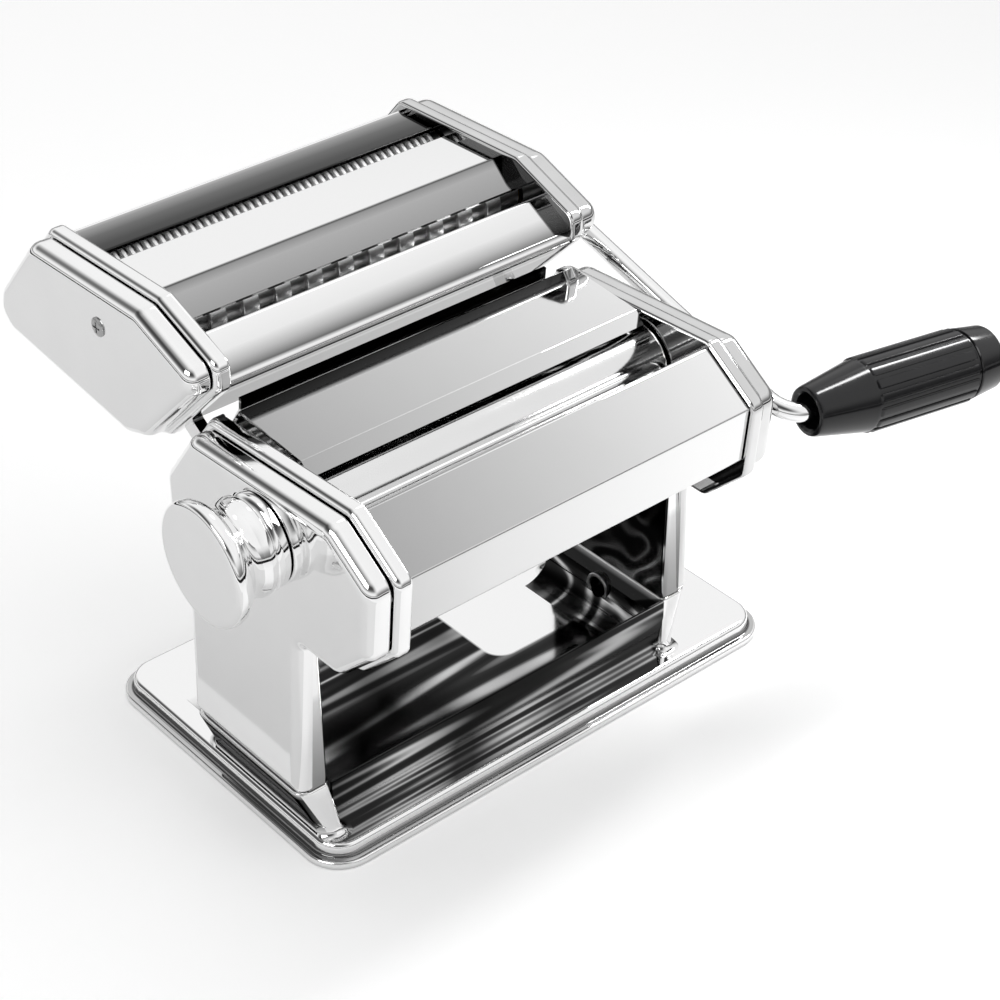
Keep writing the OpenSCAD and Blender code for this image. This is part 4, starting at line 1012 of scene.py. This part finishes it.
# ---- crank ----
# One plated steel rod, bent twice: the pin that enters a socket, the arm, and the spindle inside the grip.
# The pin is pushed into one of the machine's sockets and pulls out again.
PIN_END, HUB_X, ARM_X, ARM_LEN = 68.5, 92.0, 98.0, 110.0
ARM_DROP, GRIP_LEAN = math.radians(19.5), math.radians(9)
ROD_R, HUB_BEND, ELBOW_BEND = 3.5, 6.0, 12.0
GRIP_GAP, GRIP_LEN, GRIP_R, CAP_LEN, SPINDLE_PAST = 8.2, 88.0, 13.5, 12.0, 1.8
hub = Vector((HUB_X, *WIDE_FRONT))
elbow = Vector((ARM_X, hub.y - ARM_LEN * math.cos(ARM_DROP), hub.z - ARM_LEN * math.sin(ARM_DROP)))
grip_dir = Vector((math.cos(GRIP_LEAN), -math.sin(GRIP_LEAN) * math.cos(ARM_DROP),
                   -math.sin(GRIP_LEAN) * math.sin(ARM_DROP)))


def bend_points(before, here, after, radius, steps=10):
    """Points of the arc that rounds a corner of a path in space."""
    u = (before - here).normalized()
    v = (after - here).normalized()
    half = u.angle(v) / 2
    middle = here + (u + v).normalized() * radius / math.sin(half)
    a = here + u * radius / math.tan(half) - middle
    b = here + v * radius / math.tan(half) - middle
    total = a.angle(b)
    return [middle + (a * math.sin((1 - t) * total) + b * math.sin(t * total)) / math.sin(total)
            for t in (k / steps for k in range(steps + 1))]


def swept(path, radius, bends, count=24):
    """A round rod along straight runs, with a rounded bend of its own radius at each corner."""
    centres = [Vector(path[0])]
    for i, bend in enumerate(bends, 1):
        centres += bend_points(*neighbours(path, i), bend)
    centres.append(Vector(path[-1]))
    turns = [2 * math.pi * k / count for k in range(count)]
    rings = []
    across = None
    for i, point in enumerate(centres):
        ahead = (centres[min(i + 1, len(centres) - 1)] - centres[max(i - 1, 0)]).normalized()
        across = (across - ahead * across.dot(ahead) if across else ahead.orthogonal()).normalized()
        up = ahead.cross(across)
        rings.append([tuple(point + radius * (across * math.cos(a) + up * math.sin(a))) for a in turns])
    return loft(rings)


spindle_end = elbow + grip_dir * (GRIP_LEN - CAP_LEN + SPINDLE_PAST)
rod = swept([(PIN_END, *WIDE_FRONT), hub, elbow, spindle_end], ROD_R, (HUB_BEND, ELBOW_BEND))
dress("crank_bar", rod, bright, "crank", ("crank_rod",))

# ---- grip ----
# Moulded black plastic: a smooth cone with an open mouth, a sleeve with raised ribs, and a pressed-in cap.
# It turns freely on the crank's spindle, a little clear of the elbow.
BLACK, BLACK_HAZE = (0.004, 0.004, 0.0045, 1), (0.008, 0.008, 0.009, 1)
black_plastic, plastic_shader, plastic_at = new_material("black_plastic")
haze = plastic_at.noise(120.0, 3.0)
coat(plastic_shader, haze.between(BLACK, BLACK_HAZE), haze * 0.08 + 0.1)
plastic_shader.inputs["Specular IOR Level"].default_value = 0.45

to_grip = Matrix.Translation(elbow) @ grip_dir.to_track_quat("X", "Z").to_matrix().to_4x4()
RIBS, RIBS_AT, RIB_HALF = 16, GRIP_GAP + 0.28 * (GRIP_LEN - GRIP_GAP), math.radians(7.6)
SLEEVE_END, SLEEVE_CORE, SPINDLE_HOLE = GRIP_LEN - CAP_LEN, GRIP_R - 0.7, 3.6
RIB_LIFTS = [(RIBS_AT - 0.6, -0.4), (RIBS_AT + 0.2, 0.3), (RIBS_AT + 1.0, 0.7), (SLEEVE_END - 2.0, 0.7),
             (SLEEVE_END - 1.5, 0.35), (SLEEVE_END - 1.2, -0.4)]
RIB_FALLS = [(-1.0, 0.45), (-0.85, 0.12), (-0.5, 0.0), (0.5, 0.0), (0.85, 0.12), (1.0, 0.45)]
wheel_tree, wheel_keys, wheel, wheel_item = instancer("ribs_round_x", [("Count", "NodeSocketInt")])
ribs = wheel["Count"]
wheel_points = points_in_line(ribs, Offset=(0.0, 0.0, 0.0))
wheel_angle = ribs.get("GeometryNodeInputIndex") * ribs.maths("DIVIDE", 2 * math.pi, ribs)
close_instancer(wheel, wheel_points, wheel_item, ribs.get("ShaderNodeCombineXYZ", None, {0: wheel_angle}))


def rib():
    """One raised rib: a low arch across, with its two ends run down into the sleeve."""
    rings = []
    for x, lift in RIB_LIFTS:
        arch = [(RIB_HALF, SLEEVE_CORE - 0.5), (-RIB_HALF, SLEEVE_CORE - 0.5)]
        arch += [(share * RIB_HALF, SLEEVE_CORE + lift - fall) for share, fall in RIB_FALLS]
        rings.append([(x, r * math.cos(a), r * math.sin(a)) for a, r in arch])
    return loft(rings)


sleeve_profile = [(20, SPINDLE_HOLE), (15.2, 5.8), (GRIP_GAP + 0.8, 6.4), (GRIP_GAP, 7.2), (GRIP_GAP, 8.0),
                  (GRIP_GAP + 0.4, 8.7), (GRIP_GAP + 1.5, 9.1), (RIBS_AT - 1.2, SLEEVE_CORE - 0.1),
                  (RIBS_AT, SLEEVE_CORE), (SLEEVE_END - 1.2, SLEEVE_CORE), (SLEEVE_END - 0.8, GRIP_R - 1.2),
                  (SLEEVE_END, GRIP_R - 1.2), (SLEEVE_END, SPINDLE_HOLE)]
cap_profile = [(SLEEVE_END, 5.8), (SLEEVE_END, 12.6), (SLEEVE_END + 0.3, 12.9), (SLEEVE_END + 1.0, 12.9),
               (GRIP_LEN - 1.4, 11.7), (GRIP_LEN - 0.6, 11.3), (GRIP_LEN - 0.15, 10.6), (GRIP_LEN, 9.6)]
bare_sleeve, one_rib = loose(raw_mesh("grip_sleeve", lathe(sleeve_profile))), loose(raw_mesh("rib", rib()))
sleeve = grow(bare_sleeve, one_rib, black_plastic, wheel_tree, wheel_keys, Count=RIBS)
sleeve.transform(Matrix.Scale(mm, 4) @ to_grip @ Matrix.Scale(1 / mm, 4))
dress("grip_sleeve", sleeve, black_plastic, "grip", ("crank_grip",), crease=30)
cap_points, cap_faces = lathe(cap_profile)
cap_shape = [tuple(to_grip @ Vector(p)) for p in cap_points], cap_faces
dress("grip_plug", cap_shape, black_plastic, "grip", ("grip_cap",))
